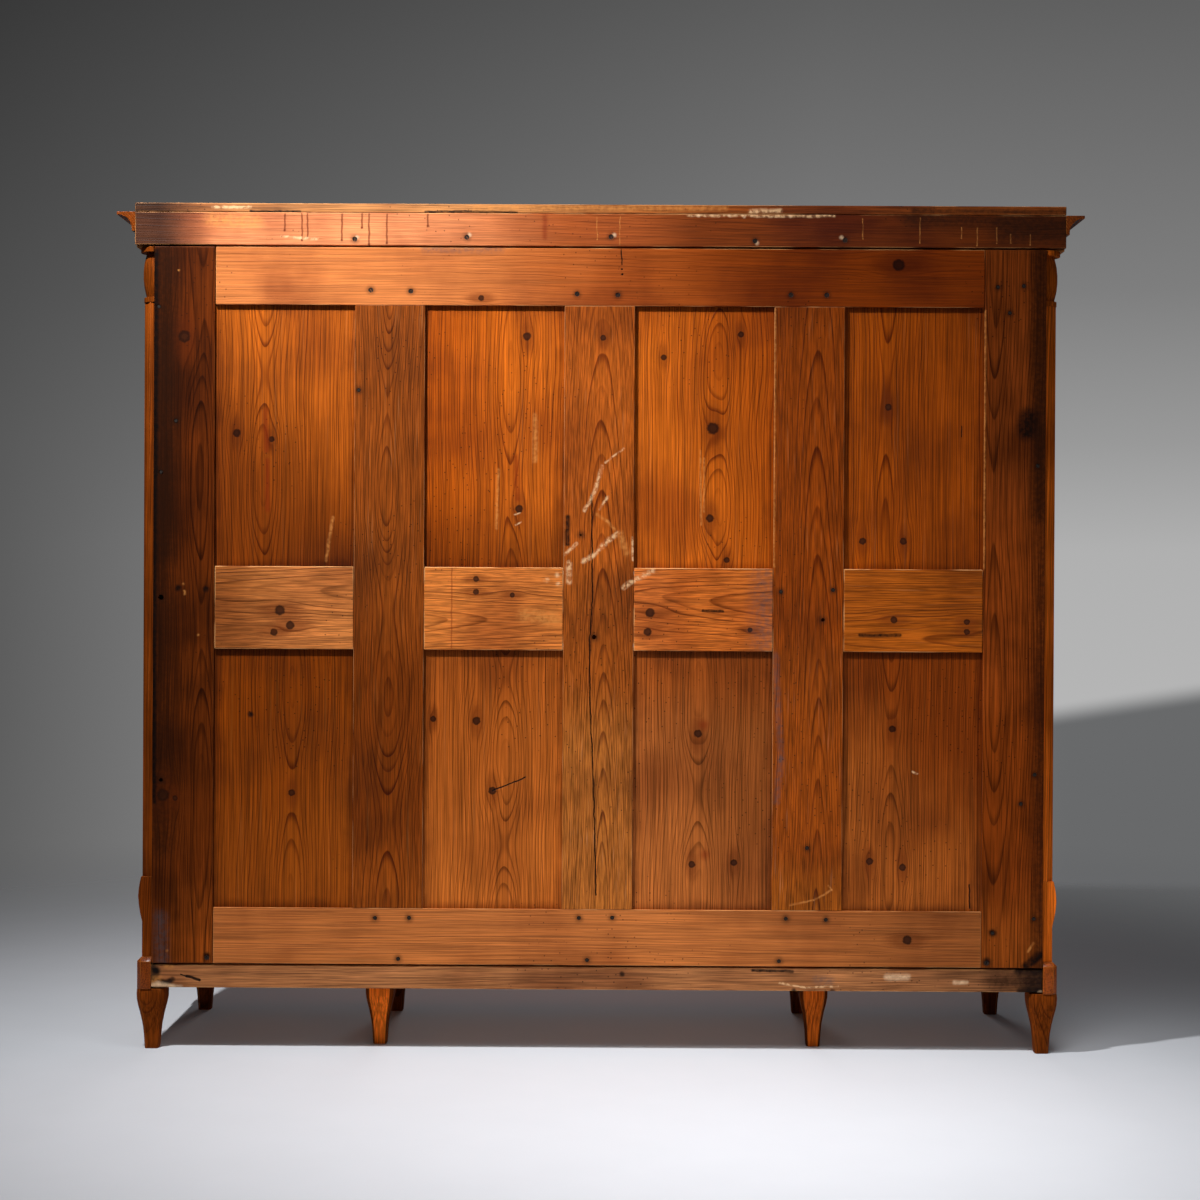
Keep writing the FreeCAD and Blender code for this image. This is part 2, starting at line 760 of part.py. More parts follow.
def glazing_beads(inner, heights):
    """Four beads that hold the glass in its rebate."""
    ys = (front + glass_setback + glass_thickness, door_back)
    wide = grow(inner, rebate_width)
    tall = grow(heights, rebate_width)
    across = [box(wide, ys, (tall[0], heights[0])), box(wide, ys, (heights[1], tall[1]))]
    upright = [box((wide[0], inner[0]), ys, heights), box((inner[1], wide[1]), ys, heights)]
    return across + upright


def build_door(name, xs, hinge, locked):
    """A door: frame with beads, wood panel below, glass above, and its lock if it has one."""
    ys = (front, door_back)
    inner = grow(xs, -door_stile)
    lower, upper = between(door_rails_z)
    panel_ys = (front + panel_recess, front + panel_recess + panel_thickness)
    rebate_ys = (front + glass_setback, door_back)
    housings = [groove_box(inner, panel_ys, lower)]
    housings.append(box(grow(inner, rebate_width), rebate_ys, grow(upper, rebate_width)))
    if locked:
        case_ys = lock_depths()
        housings.append(box(from_edge(xs, hinge, 0, lock_width), case_ys, case_heights()))
        housings.append(keyhole(key_x(xs, hinge), (front, case_ys[0])))
    else:
        housings.append(box(from_edge(xs, hinge, 0, strike_thickness), strike_depths(), strike_heights()))
        depth = bolt_travel + strike_room - meeting_gap
        housings.append(bolt_room(xs, hinge, 0, depth, strike_slack))
    rails, stiles = framed(xs, ys, door_stile, door_rails_z, housings)
    pieces = rails + stiles + glazing_beads(inner, upper)
    if name == "centre_right":
        cover_xs = from_edge(xs, hinge, 0, astragal_width)
        cover = box(cover_xs, (front - astragal_depth, front), (door_bottom, door_top))
        face = front - astragal_depth
        pieces.append(chamfered(cover, astragal_chamfer, lambda at: at.y < face + touch))
    glass_reach = rebate_width - glass_gap
    glass_ys = (front + glass_setback, front + glass_setback + glass_thickness)
    save("door_frame_" + name, pieces)
    save("door_panel_" + name, [panel_box(inner, panel_ys, lower)])
    save("door_glass_" + name, [box(grow(inner, glass_reach), glass_ys, grow(upper, glass_reach))])
    if locked:
        build_lock(name, xs, hinge)


def build_front():
    """Front posts with strike plates, the doors and their stops."""
    post_ys = (front, front + post_depth)
    corner = box((corner_post_inner, side_inner), post_ys, (floor_top, ceiling_bottom))
    middle_xs = (partition_offset - post_width / 2, partition_offset + post_width / 2)
    middle = box(middle_xs, post_ys, (floor_top, ceiling_bottom))
    _, right_xs, right_hinge, _ = door_spans()[3]
    plate = strike_box(right_xs, right_hinge, door_gap)
    mortise = strike_mortise(right_xs, right_hinge, door_gap)
    save("front_posts", mirrored([corner, middle.cut([plate, mortise])]))
    save("strike_plates", mirrored([plate.cut(mortise)]))

    stops = []
    for name, xs, hinge, locked in door_spans():
        build_door(name, xs, hinge, locked)
        stop_xs = from_edge(xs, hinge, stop_distance, stop_distance + stop_length)
        stop_ys = (door_back + stop_gap, door_back + stop_gap + stop_section)
        for bottom in (floor_top, ceiling_bottom - stop_section):
            stops.append(box(stop_xs, stop_ys, (bottom, bottom + stop_section)))
    save("door_stops", stops)


def slide_guides(span):
    """Two guide blocks for a slide bolt, behind the door."""
    xs = (slide_bolt_x() - guide_width / 2, slide_bolt_x() + guide_width / 2)
    ys = (door_back, door_back + guide_depth)
    bore_radius = slide_radius + running_clearance
    bore = Part.makeCylinder(bore_radius, span[1] - span[0], Vector(slide_bolt_x(), slide_y, span[0]))
    middles = (span[0] + guide_end_distance, span[1] - guide_end_distance)
    return [box(xs, ys, (z - guide_height / 2, z + guide_height / 2)).cut(bore) for z in middles]


def slide_bolt(span):
    """A round slide bolt with a small knob at its middle."""
    rod = Part.makeCylinder(slide_radius, span[1] - span[0], Vector(slide_bolt_x(), slide_y, span[0]))
    middle = Vector(slide_bolt_x(), slide_y, (span[0] + span[1]) / 2)
    knob = Part.makeCylinder(slide_knob_radius, slide_radius + slide_knob_length, middle, Vector(0, 1, 0))
    return joined(rod, [knob])


def build_slide_bolts():
    """The passive door's slide bolts, with guides and the strike plate of the active door's lock."""
    low = (door_bottom + slide_withdrawn, door_bottom + slide_withdrawn + slide_length)
    high = (door_top - slide_withdrawn - slide_length, door_top - slide_withdrawn)
    save("slide_bolt_bottom", [slide_bolt(low)])
    save("slide_bolt_top", [slide_bolt(high)])
    _, active_xs, active_hinge, _ = door_spans()[2]
    plate = strike_box(active_xs, active_hinge, meeting_gap)
    plate = plate.cut(strike_mortise(active_xs, active_hinge, meeting_gap))
    save("bolt_guides", slide_guides(low) + slide_guides(high) + [plate])


os.makedirs("parts", exist_ok=True)
build_feet()
build_plinth()
build_back()
build_sides()
build_boards()
build_shelves()
build_columns()
build_cornice()
build_mouldings()
build_front()
build_hinges()
build_slide_bolts()
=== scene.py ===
"""Looks of a four-door display cabinet with a frame-and-panel pine back, in metres."""
import logging
import math
import random
from dataclasses import dataclass, replace
from enum import Enum
from typing import Iterable, Union

import bmesh
import bpy
from mathutils import Matrix, Vector


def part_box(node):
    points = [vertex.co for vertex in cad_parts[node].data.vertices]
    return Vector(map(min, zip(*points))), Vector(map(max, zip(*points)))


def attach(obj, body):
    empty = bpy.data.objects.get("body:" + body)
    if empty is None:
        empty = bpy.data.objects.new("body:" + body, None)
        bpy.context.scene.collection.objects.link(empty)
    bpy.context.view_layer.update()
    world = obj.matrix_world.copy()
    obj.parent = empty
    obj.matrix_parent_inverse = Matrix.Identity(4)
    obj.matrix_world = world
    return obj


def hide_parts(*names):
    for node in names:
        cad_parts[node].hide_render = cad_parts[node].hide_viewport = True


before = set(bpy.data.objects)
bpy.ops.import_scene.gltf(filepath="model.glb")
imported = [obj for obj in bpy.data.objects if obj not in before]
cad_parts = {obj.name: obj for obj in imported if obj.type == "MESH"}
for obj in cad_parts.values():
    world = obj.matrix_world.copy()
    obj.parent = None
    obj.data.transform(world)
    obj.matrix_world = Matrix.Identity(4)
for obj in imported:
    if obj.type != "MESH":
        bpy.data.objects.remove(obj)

log = logging.getLogger("cabinet")
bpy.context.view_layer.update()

Colour = tuple[float, float, float, float]
Place = tuple[float, float]
Triple = tuple[float, float, float]

# Names of the attributes that the wood shaders read
LOG = "log_place"
TINT = "tint"
WORN = "worn"

# The back's plane, and the axes as indices
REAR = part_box("back_stiles")[1].y
X, Y, Z = 0, 1, 2


def shown(red: int, green: int, blue: int) -> Colour:
    """The linear colour that a screen shows as these values from 0 to 255.

    Args:
        red: Red as shown.
        green: Green as shown.
        blue: Blue as shown.

    Returns:
        The colour for a shader's socket, with full alpha.
    """
    shares = [value / 255 for value in (red, green, blue)]
    linear = [((c + 0.055) / 1.055) ** 2.4 if c > 0.04045 else c / 12.92 for c in shares]
    return linear[0], linear[1], linear[2], 1.0


class Wire:
    """A node's output that adds Math nodes when it is used in an expression."""

    def __init__(self, graph: "Graph", socket: bpy.types.NodeSocket) -> None:
        """Keeps the graph that the socket belongs to."""
        self.graph = graph
        self.socket = socket

    def math(self, operation: str, *others: "Operand") -> "Wire":
        """This wire and others, in that order, through a Math node."""
        return self.graph.math(operation, self, *others)

    def __add__(self, other: "Operand") -> "Wire":
        """Sum."""
        return self.math("ADD", other)

    def __radd__(self, other: "Operand") -> "Wire":
        """Sum with a plain number first."""
        return self.math("ADD", other)

    def __sub__(self, other: "Operand") -> "Wire":
        """Difference."""
        return self.math("SUBTRACT", other)

    def __rsub__(self, other: "Operand") -> "Wire":
        """Difference with a plain number first."""
        return self.graph.math("SUBTRACT", other, self)

    def __mul__(self, other: "Operand") -> "Wire":
        """Product."""
        return self.math("MULTIPLY", other)

    def __rmul__(self, other: "Operand") -> "Wire":
        """Product with a plain number first."""
        return self.math("MULTIPLY", other)

    def __truediv__(self, other: "Operand") -> "Wire":
        """Quotient."""
        return self.math("DIVIDE", other)


Operand = Union[Wire, float]


class Graph:
    """A node tree that is filled by expressions and by one method for every other node."""

    def __init__(self, tree: bpy.types.NodeTree) -> None:
        """Keeps the tree."""
        self.tree = tree

    def feed(self, socket: bpy.types.NodeSocket, value: object) -> None:
        """Links a wire to a socket, or sets the socket to a plain value.

        Args:
            socket: The socket.
            value: A wire, or a value of the socket's kind.
        """
        if isinstance(value, Wire):
            self.tree.links.new(value.socket, socket)
        else:
            socket.default_value = value

    def node(self, kind: str, settings: dict, inputs: dict, output: Union[int, str] = 0) -> Wire:
        """Adds a node.

        Args:
            kind: The node's type, without its ShaderNode prefix.
            settings: Its properties; stops are a ramp's places and colours.
            inputs: Plain values or wires by socket.
            output: The output that is wanted.

        Returns:
            That output.
        """
        made = self.tree.nodes.new("ShaderNode" + kind)
        for key, value in settings.items():
            if key == "stops":
                self.set_stops(made.color_ramp, value)
            else:
                setattr(made, key, value)
        for key, value in inputs.items():
            self.feed(made.inputs[key], value)
        return Wire(self, made.outputs[output])

    def set_stops(self, ramp: bpy.types.ColorRamp, stops: Iterable[tuple[float, Colour]]) -> None:
        """Gives a ramp its stops, the first two in the elements that it starts with.

        Args:
            ramp: The ramp.
            stops: Places from 0 to 1, each with its colour.
        """
        for index, (place, colour) in enumerate(stops):
            element = ramp.elements[index] if index < 2 else ramp.elements.new(place)
            element.position = place
            element.color = colour

    def math(self, operation: str, *values: Operand) -> Wire:
        """A Math node on values in order."""
        return self.node("Math", {"operation": operation}, dict(enumerate(values)))

    def vector(self, operation: str, *values: object, output: int = 0) -> Wire:
        """A Vector Math node on values in order; output 1 is its number."""
        return self.node("VectorMath", {"operation": operation}, dict(enumerate(values)), output)

    def mix(self, share: Operand, first: object, second: object, blend: str = "MIX") -> Wire:
        """A colour between two others, or one laid on the other by a blend."""
        settings = {"data_type": "RGBA", "blend_type": blend}
        return self.node("Mix", settings, {0: share, 6: first, 7: second}, 2)

    def noise(self, vector: Wire, scale: float, detail: float = 2.0) -> Wire:
        """Noise from 0 to 1 over a vector."""
        return self.node("TexNoise", {}, {"Vector": vector, "Scale": scale, "Detail": detail})

    def smooth(self, value: Wire, low: Operand, high: Operand) -> Wire:
        """0 below a low value, 1 above a high one, and a smooth rise between them."""
        return self.node("MapRange", {"interpolation_type": "SMOOTHSTEP"},
                         {"Value": value, "From Min": low, "From Max": high})

    def stretched(self, vector: Wire, factors: Triple) -> Wire:
        """A vector scaled by axis, which draws a pattern out."""
        return self.vector("MULTIPLY", vector, factors)

    def split(self, vector: Wire) -> tuple[Wire, Wire, Wire]:
        """The three numbers of a vector.

        Args:
            vector: The vector.

        Returns:
            A wire for each axis.
        """
        first = self.node("SeparateXYZ", {}, {0: vector})
        outputs = first.socket.node.outputs
        return first, Wire(self, outputs[1]), Wire(self, outputs[2])

    def object_place(self) -> Wire:
        """The place on the piece, in metres."""
        return self.node("TexCoord", {}, {}, "Object")


class Surface(Graph):
    """A material with a Principled shader."""

    def __init__(self, name: str) -> None:
        """Makes the material and keeps its shader.

        Args:
            name: The material's name.
        """
        self.material = bpy.data.materials.new(name)
        self.material.use_nodes = True
        super().__init__(self.material.node_tree)
        self.shader = self.tree.nodes["Principled BSDF"]

    def finish(self, values: dict) -> bpy.types.Material:
        """Feeds the shader's sockets.

        Args:
            values: Plain values or wires by socket.

        Returns:
            The finished material.
        """
        for key, value in values.items():
            self.feed(self.shader.inputs[key], value)
        return self.material

    def bump(self, height: Wire, distance: float) -> Wire:
        """A normal that follows a height, at full strength."""
        return self.node("Bump", {}, {"Strength": 1.0, "Distance": distance, "Height": height})


class MarkKind(Enum):
    """What left a mark on a board; two kinds are also laid as painted highlight and painted shade."""

    RUN = "run of dark varnish"
    SCRAPE = "pale scrape"
    CRACK = "open crack"
    DAMP = "blue-grey damp stain"
    SOOT = "black stain"
    FILLER = "pale filler"
    RED = "red-brown stain"
    # Bare wood, and also painted highlight along lit flanks beside the panels
    BARE_AND_HIGHLIGHT = "patch of bare wood"
    # Wood gone dark with age, and also painted shade towards the camera's right on the cornice, the dust
    # board and the plinth rail
    AGED_AND_SHADED = "wood gone dark with age"
    RUST = "rust round an iron head"


# The kinds by their bare names, for the lists of marks
RUN, SCRAPE, CRACK, DAMP, SOOT, FILLER, RED, BARE_AND_HIGHLIGHT, AGED_AND_SHADED, RUST = MarkKind


@dataclass(frozen=True)
class MarkLook:
    """How a kind of mark shows: its colour, how strong and soft it is, and how far it is broken up."""

    colour: Colour
    strength: float
    softness: float
    broken: float


MARK_LOOKS = {
    RUN: MarkLook(shown(104, 40, 10), strength=0.8, softness=0.6, broken=0.0),
    SCRAPE: MarkLook(shown(234, 188, 138), strength=0.82, softness=1.0, broken=0.85),
    CRACK: MarkLook(shown(18, 8, 3), strength=0.95, softness=0.35, broken=0.0),
    DAMP: MarkLook(shown(58, 70, 76), strength=0.42, softness=1.0, broken=0.6),
    SOOT: MarkLook(shown(14, 8, 6), strength=0.95, softness=0.6, broken=0.2),
    FILLER: MarkLook(shown(228, 190, 150), strength=0.8, softness=0.95, broken=0.35),
    RED: MarkLook(shown(120, 34, 6), strength=0.55, softness=1.0, broken=0.0),
    BARE_AND_HIGHLIGHT: MarkLook(shown(214, 140, 70), strength=0.55, softness=1.0, broken=0.6),
    AGED_AND_SHADED: MarkLook(shown(38, 16, 5), strength=0.75, softness=1.0, broken=0.25),
    RUST: MarkLook(shown(34, 18, 10), strength=0.7, softness=1.0, broken=0.15),
}


@dataclass(frozen=True)
class Mark:
    """A mark along a line on the back, from one place to another, as X and Z."""

    kind: MarkKind
    start: Place
    end: Place
    width: float


@dataclass(frozen=True)
class Knot:
    """A knot on the back: its place as X and Z, and its radius."""

    x: float
    z: float
    radius: float


@dataclass(frozen=True)
class Fade:
    """A board's colour multiplied from one place on the back to another, for tone and painted light and
    shade.
    """

    start: Place
    end: Place
    # The factor for red, green and blue: the wood's tone, and painted light and shade
    tone_and_light: Triple


@dataclass(frozen=True)
class Figure:
    """How a board was cut from its log, which draws its year rings.

    The pith lies aside from the board's middle, at a depth before its face. It lies further off by tilt for
    each metre along the board, and sways by sway over each swing, starting at phase. Ring is the width of a
    year ring.
    """

    aside: float = 0.0
    depth: float = 0.05
    tilt: float = 0.0
    sway: float = 0.0
    swing: float = 1.0
    phase: float = 0.0
    ring: float = 0.0055


@dataclass(frozen=True)
class WoodFinish:
    """A wood's colours and gloss.

    Early and late are the two halves of a year ring, contrast how far they differ, and worn the colour of
    rubbed edges. Grain is how strong the fine lines are, patina the dark clouds of age, wear how far edges
    are rubbed, and pecks the pinholes.
    """

    early: Colour
    late: Colour
    worn: Colour = shown(214, 150, 92)
    contrast: float = 0.95
    grain: float = 1.0
    patina: float = 0.5
    wear: float = 0.6
    roughness: float = 0.5
    specular: float = 0.08
    coat: float = 0.0
    pecks: float = 0.7


@dataclass(frozen=True)
class LogKnot:
    """A knot's place across and along the log, and its radius."""

    across: float
    along: float
    radius: float


class Timber(Surface):
    """The shader of a wooden piece: year rings, knots, patina, wear and marks."""

    # How strongly the grain bends round a knot, and over how many of its radii across and along
    KNOT_BEND = 0.9
    KNOT_SPREAD = 2.4
    KNOT_REACH = 6.0

    # Colours of a knot from its rim inwards, of pinholes, and of the painted shade and dirt along a panel's
    # rim
    KNOT_HALO = shown(104, 42, 10)
    KNOT_HEART = shown(40, 18, 9)
    KNOT_MIDDLE = shown(92, 46, 22)
    PINHOLE = shown(34, 16, 8)
    RIM_SHADE_AND_DIRT = shown(92, 40, 12)

    # Where the late wood of a year ring starts and ends, and how far rings vary in width
    LATE_START = 0.55
    LATE_END = 0.93
    RING_DRIFT = 3.0

    # How strongly streaks, fibres, threads and a piece's tint change its tone
    STREAKS = 0.7
    FIBRES = 0.54
    THREADS = 0.7
    TINT_STEP = 0.18

    # How far the grain drifts and ripples, the width of the rim that painted shade and dirt darken, and the
    # wobble of marks, in metres
    DRIFT = 0.05
    RIPPLE = 0.009
    RIM_SHADE_AND_DIRT_WIDTH = 0.035
    WOBBLE = 0.006

    # Heights of the rings, fibres and cracks, as shares of the relief in metres
    RING_HEIGHT = 0.5
    FIBRE_HEIGHT = 0.3
    CRACK_DEPTH = 3.0
    RELIEF = 0.0007

    # What stands for the squared length of a round mark, which has none
    LEAST_LENGTH = 1e-9

    def __init__(self, name: str, finish: WoodFinish, figure: Figure = Figure()) -> None:
        """Makes the material and reads the piece's place in its log.

        Args:
            name: The material's name.
            finish: The wood's colours and gloss.
            figure: How the piece was cut from its log.
        """
        super().__init__(name)
        self.wood = finish
        self.figure = figure
        self.log_place = self.node("Attribute", {"attribute_name": LOG}, {}, "Vector")
        self.place = self.object_place()

    def paint(self, knots: Iterable[LogKnot] = (), marks: Iterable[Mark] = (),
              edges: tuple[float, ...] = (), fades: Iterable[Fade] = ()) -> bpy.types.Material:
        """Builds the shader.

        Args:
            knots: Knots by their place in the log.
            marks: Marks by their place on the back.
            edges: Low X, high X, low Z and high Z of a board whose rim is darkened by painted shade and
                dirt.
            fades: How the board gets darker or paler from place to place.

        Returns:
            The material.
        """
        wood = self.wood
        across, depth, along = self.split(self.log_place)
        knots = list(knots)
        late = self.rings(self.wandering(across, along, knots), self.swaying(depth, along))
        fibre = self.drawn(1000.0, 24.0)
        streak = self.drawn(75.0, 2.0, detail=3.0)
        thread = self.smooth(self.drawn(330.0, 4.0), 0.3, 0.7)
        pale = self.smooth(self.drawn(190.0, 3.0), 0.6, 0.78)
        cloud = self.smooth(self.noise(self.place, 3.2, 4.0), 0.42, 0.7)

        colour = self.mix(late * wood.contrast, wood.early, wood.late)
        colour = self.shaded(colour, 1.0 + wood.grain * (self.STREAKS * streak - self.STREAKS / 2))
        lines = self.FIBRES * fibre + self.THREADS * thread - (self.FIBRES + self.THREADS) / 2
        colour = self.shaded(colour, 1.0 + wood.grain * lines)
        colour = self.mix(pale * 0.12, colour, wood.worn)
        colour = self.mix(cloud * wood.patina, colour, wood.late, "MULTIPLY")
        tint = self.node("Attribute", {"attribute_name": TINT}, {}, "Fac")
        colour = self.shaded(colour, 1.0 + self.TINT_STEP * tint)
        for knot in knots:
            colour = self.knotted(colour, knot, across, along)
        if wood.pecks:
            colour = self.pecked(colour)
        if edges:
            colour = self.shaded_dirty_rim(colour, edges)
        for fade in fades:
            colour = self.faded(colour, fade)
        worn = self.worn_edge()
        colour = self.mix(worn, colour, wood.worn)
        colour, relief = self.marked(colour, marks)

        height = late * self.RING_HEIGHT + fibre * self.FIBRE_HEIGHT - relief
        roughness = wood.roughness + 0.14 * cloud - 0.06 * late
        return self.finish({
            "Base Color": colour,
            "Roughness": roughness,
            "Specular IOR Level": wood.specular,
            "Coat Weight": wood.coat,
            "Coat Roughness": 0.15,
            "Normal": self.bump(height, self.RELIEF),
        })

    def drawn(self, across: float, along: float, detail: float = 2.0) -> Wire:
        """Noise drawn out along the log, by how often it changes in a metre across and along."""
        return self.noise(self.stretched(self.log_place, (across, across, along)), 1.0, detail)

    def shaded(self, colour: object, value: Wire) -> Wire:
        """A colour made lighter or darker by a value."""
        return self.mix(1.0, colour, value, "MULTIPLY")

    def wandering(self, across: Wire, along: Wire, knots: Iterable[LogKnot]) -> Wire:
        """The place across the log, with the grain's drift and its way round the knots.

        Args:
            across: The place across the log.
            along: The place along it.
            knots: The knots that the grain bends round.

        Returns:
            The place that the year rings follow.
        """
        drift = self.drawn(4.0, 1.0)
        ripple = self.drawn(22.0, 5.0)
        bent = across + (drift - 0.5) * self.DRIFT + (ripple - 0.5) * self.RIPPLE
        for knot in knots:
            side = across - knot.across
            wide = side / (self.KNOT_SPREAD * knot.radius)
            far = (along - knot.along) / (self.KNOT_REACH * knot.radius)
            near = (-1.0 * (wide * wide + far * far)).math("EXPONENT")
            bent = bent - side * near * self.KNOT_BEND
        return bent

    def swaying(self, depth: Wire, along: Wire) -> Wire:
        """The depth of a place in the log, counted from the pith, with the pith's sway.

        Args:
            depth: The depth without sway.
            along: The place along the log.

        Returns:
            The depth with sway.
        """
        if not self.figure.sway:
            return depth
        turn = math.tau / self.figure.swing
        return depth + (along * turn + self.figure.phase).math("SINE") * self.figure.sway

    def rings(self, across: Wire, depth: Wire) -> Wire:
        """How far a place is into the late wood of its year ring, from 0 to 1.

        Args:
            across: The place across the log.
            depth: Its depth, counted from the pith.

        Returns:
            The share of late wood.
        """
        radius = (across * across + depth * depth).math("SQRT")
        uneven = self.node("TexNoise", {"noise_dimensions": "1D"}, {"W": radius * 32.0, "Scale": 1.0})
        count = radius / self.figure.ring + uneven * self.RING_DRIFT
        stage = count.math("FRACT")
        vigour = self.node("TexWhiteNoise", {"noise_dimensions": "1D"}, {"W": count.math("FLOOR")})
        rise = self.smooth(stage, self.LATE_START, self.LATE_END)
        fall = self.smooth(stage, self.LATE_END, 1.0)
        return rise * (1.0 - fall) * (0.25 + 0.75 * vigour)

    def knotted(self, colour: Wire, knot: LogKnot, across: Wire, along: Wire) -> Wire:
        """A colour with a knot's reddish ring and dark heart.

        Args:
            colour: The colour below.
            knot: The knot.
            across: The place across the log.
            along: The place along it.

        Returns:
            The colour with the knot.
        """
        aside = (across - knot.across) / knot.radius
        ahead = (along - knot.along) / knot.radius
        rough = (self.noise(self.place, 160.0) - 0.5) * 0.5
        far = (aside * aside + ahead * ahead).math("SQRT") + rough
        long = (aside * aside + ahead * ahead * 0.15).math("SQRT") + rough
        halo = 1.0 - self.smooth(long, 0.8, 2.4)
        heart = 1.0 - self.smooth(far, 0.75, 1.1)
        middle = 1.0 - self.smooth(far, 0.3, 0.7)
        colour = self.mix(halo * 0.5, colour, self.KNOT_HALO)
        colour = self.mix(heart * 0.9, colour, self.KNOT_HEART)
        return self.mix(middle * 0.3, colour, self.KNOT_MIDDLE)

    def pecked(self, colour: Wire) -> Wire:
        """A colour with pinholes, which lie in flocks.

        Args:
            colour: The colour below.

        Returns:
            The colour with the pinholes.
        """
        x, _, z = self.split(self.place)
        flat = self.node("CombineXYZ", {}, {0: x, 1: z})
        far = self.node("TexVoronoi", {"voronoi_dimensions": "2D"}, {"Vector": flat, "Scale": 34.0})
        flock = self.smooth(self.noise(self.place, 5.0), 0.5, 0.62)
        share = (1.0 - self.smooth(far, 0.035, 0.075)) * flock * self.wood.pecks
        return self.mix(share, colour, self.PINHOLE)

    def shaded_dirty_rim(self, colour: Wire, edges: tuple[float, ...]) -> Wire:
        """A colour darkened along a board's rim: painted shade in the frame's recess, and dirt.

        Args:
            colour: The colour below.
            edges: Low X, high X, low Z and high Z of the board.

        Returns:
            The colour with the grime.
        """
        x, _, z = self.split(self.place)
        low_x, high_x, low_z, high_z = edges
        aside = (x - low_x).math("MINIMUM", high_x - x)
        ahead = (z - low_z).math("MINIMUM", high_z - z)
        rough = self.noise(self.place, 14.0, 3.0)
        far = aside.math("MINIMUM", ahead) + (rough - 0.5) * 0.05
        rim = 1.0 - self.smooth(far, 0.0, self.RIM_SHADE_AND_DIRT_WIDTH)
        return self.mix(rim * 0.5, colour, self.RIM_SHADE_AND_DIRT, "MULTIPLY")

    def faded(self, colour: Wire, fade: Fade) -> Wire:
        """A colour multiplied from one place to another, unevenly, for tone and painted light and shade.

        Args:
            colour: The colour below.
            fade: The factor, for tone and painted light, and its places.

        Returns:
            The dyed colour.
        """
        x, _, z = self.split(self.place)
        uneven = self.noise(self.place, 7.0, 3.0)
        run = Vector(fade.end) - Vector(fade.start)
        step = run / run.length_squared
        passed = (x - fade.start[0]) * step.x + (z - fade.start[1]) * step.y + (uneven - 0.5) * 0.5
        return self.mix(self.smooth(passed, 0.0, 1.0), colour, (*fade.tone_and_light, 1.0), "MULTIPLY")

    def worn_edge(self) -> Wire:
        """How far an eased edge is rubbed down to pale wood.

        Returns:
            The share of pale wood, from 0 to 1.
        """
        edge = self.node("Attribute", {"attribute_name": WORN}, {}, "Fac")
        patchy = self.smooth(self.noise(self.place, 11.0, 4.0), 0.4, 0.62)
        return edge * patchy * self.wood.wear

    def marked(self, colour: Wire, marks: Iterable[Mark]) -> tuple[Wire, Operand]:
        """A colour with marks laid on it.

        Args:
            colour: The colour below.
            marks: The marks, laid in order.

        Returns:
            The marked colour, and how deep the cracks go.
        """
        marks = list(marks)
        if not marks:
            return colour, 0.0
        relief: Operand = 0.0
        x, _, z = self.split(self.place)
        flat = self.node("CombineXYZ", {}, {0: x, 2: z})
        wobble = self.node("TexNoise", {}, {"Vector": flat, "Scale": 45.0, "Detail": 2.0}, 1)
        flat = self.vector("MULTIPLY_ADD", wobble, (self.WOBBLE, 0.0, self.WOBBLE), flat)
        flat = self.vector("SUBTRACT", flat, (self.WOBBLE / 2, 0.0, self.WOBBLE / 2))
        patches = self.noise(flat, 95.0, 3.0)
        for mark in marks:
            look = MARK_LOOKS[mark.kind]
            share = self.along_mark(flat, mark, look)
            if look.broken:
                share = share * (1.0 - look.broken * self.smooth(patches, 0.4, 0.6))
            colour = self.mix(share * look.strength, colour, look.colour)
            if mark.kind is CRACK:
                relief = relief + share * self.CRACK_DEPTH
        return colour, relief

    def along_mark(self, flat: Wire, mark: Mark, look: MarkLook) -> Wire:
        """How far a place lies within a mark, from 0 to 1.

        Args:
            flat: The place on the back, with its wobble.
            mark: The mark.
            look: How its kind shows.

        Returns:
            The share of the mark.
        """
        start = Vector((mark.start[0], 0.0, mark.start[1]))
        run = Vector((mark.end[0], 0.0, mark.end[1])) - start
        length = max(run.length_squared, self.LEAST_LENGTH)
        offset = self.vector("SUBTRACT", flat, tuple(start))
        passed = self.vector("DOT_PRODUCT", offset, tuple(run / length), output=1)
        held = self.node("Math", {"operation": "ADD", "use_clamp": True}, {0: passed, 1: 0.0})
        aside = self.vector("MULTIPLY_ADD", held, tuple(-run), offset)
        far = self.vector("LENGTH", aside, output=1)
        half = mark.width / 2
        return 1.0 - self.smooth(far, half * (1 - look.softness), half * (1 + look.softness))


@dataclass(frozen=True)
class MetalFinish:
    """A metal's colour, the colour of its tarnish, how much of it there is, and its gloss."""

    colour: Colour
    tarnish: Colour
    spread: float
    roughness: float

    # How far bare metal mirrors, and what tarnish takes off that and adds to the roughness
    METALLIC = 0.75
    DULLED = 0.4
    ROUGHENED = 0.3

    def material(self, name: str) -> bpy.types.Material:
        """The metal's material.

        Args:
            name: The material's name.

        Returns:
            The material.
        """
        surface = Surface(name)
        place = surface.object_place()
        clouds = surface.noise(place, 90.0, 4.0)
        grit = surface.noise(place, 700.0, 2.0)
        dull = surface.smooth(clouds, 0.62 - self.spread, 0.75)
        return surface.finish({
            "Base Color": surface.mix(dull, self.colour, self.tarnish),
            "Metallic": self.METALLIC - self.DULLED * dull,
            "Roughness": self.roughness + self.ROUGHENED * dull + 0.08 * grit,
            "Normal": surface.bump(grit, 0.0001),
        })


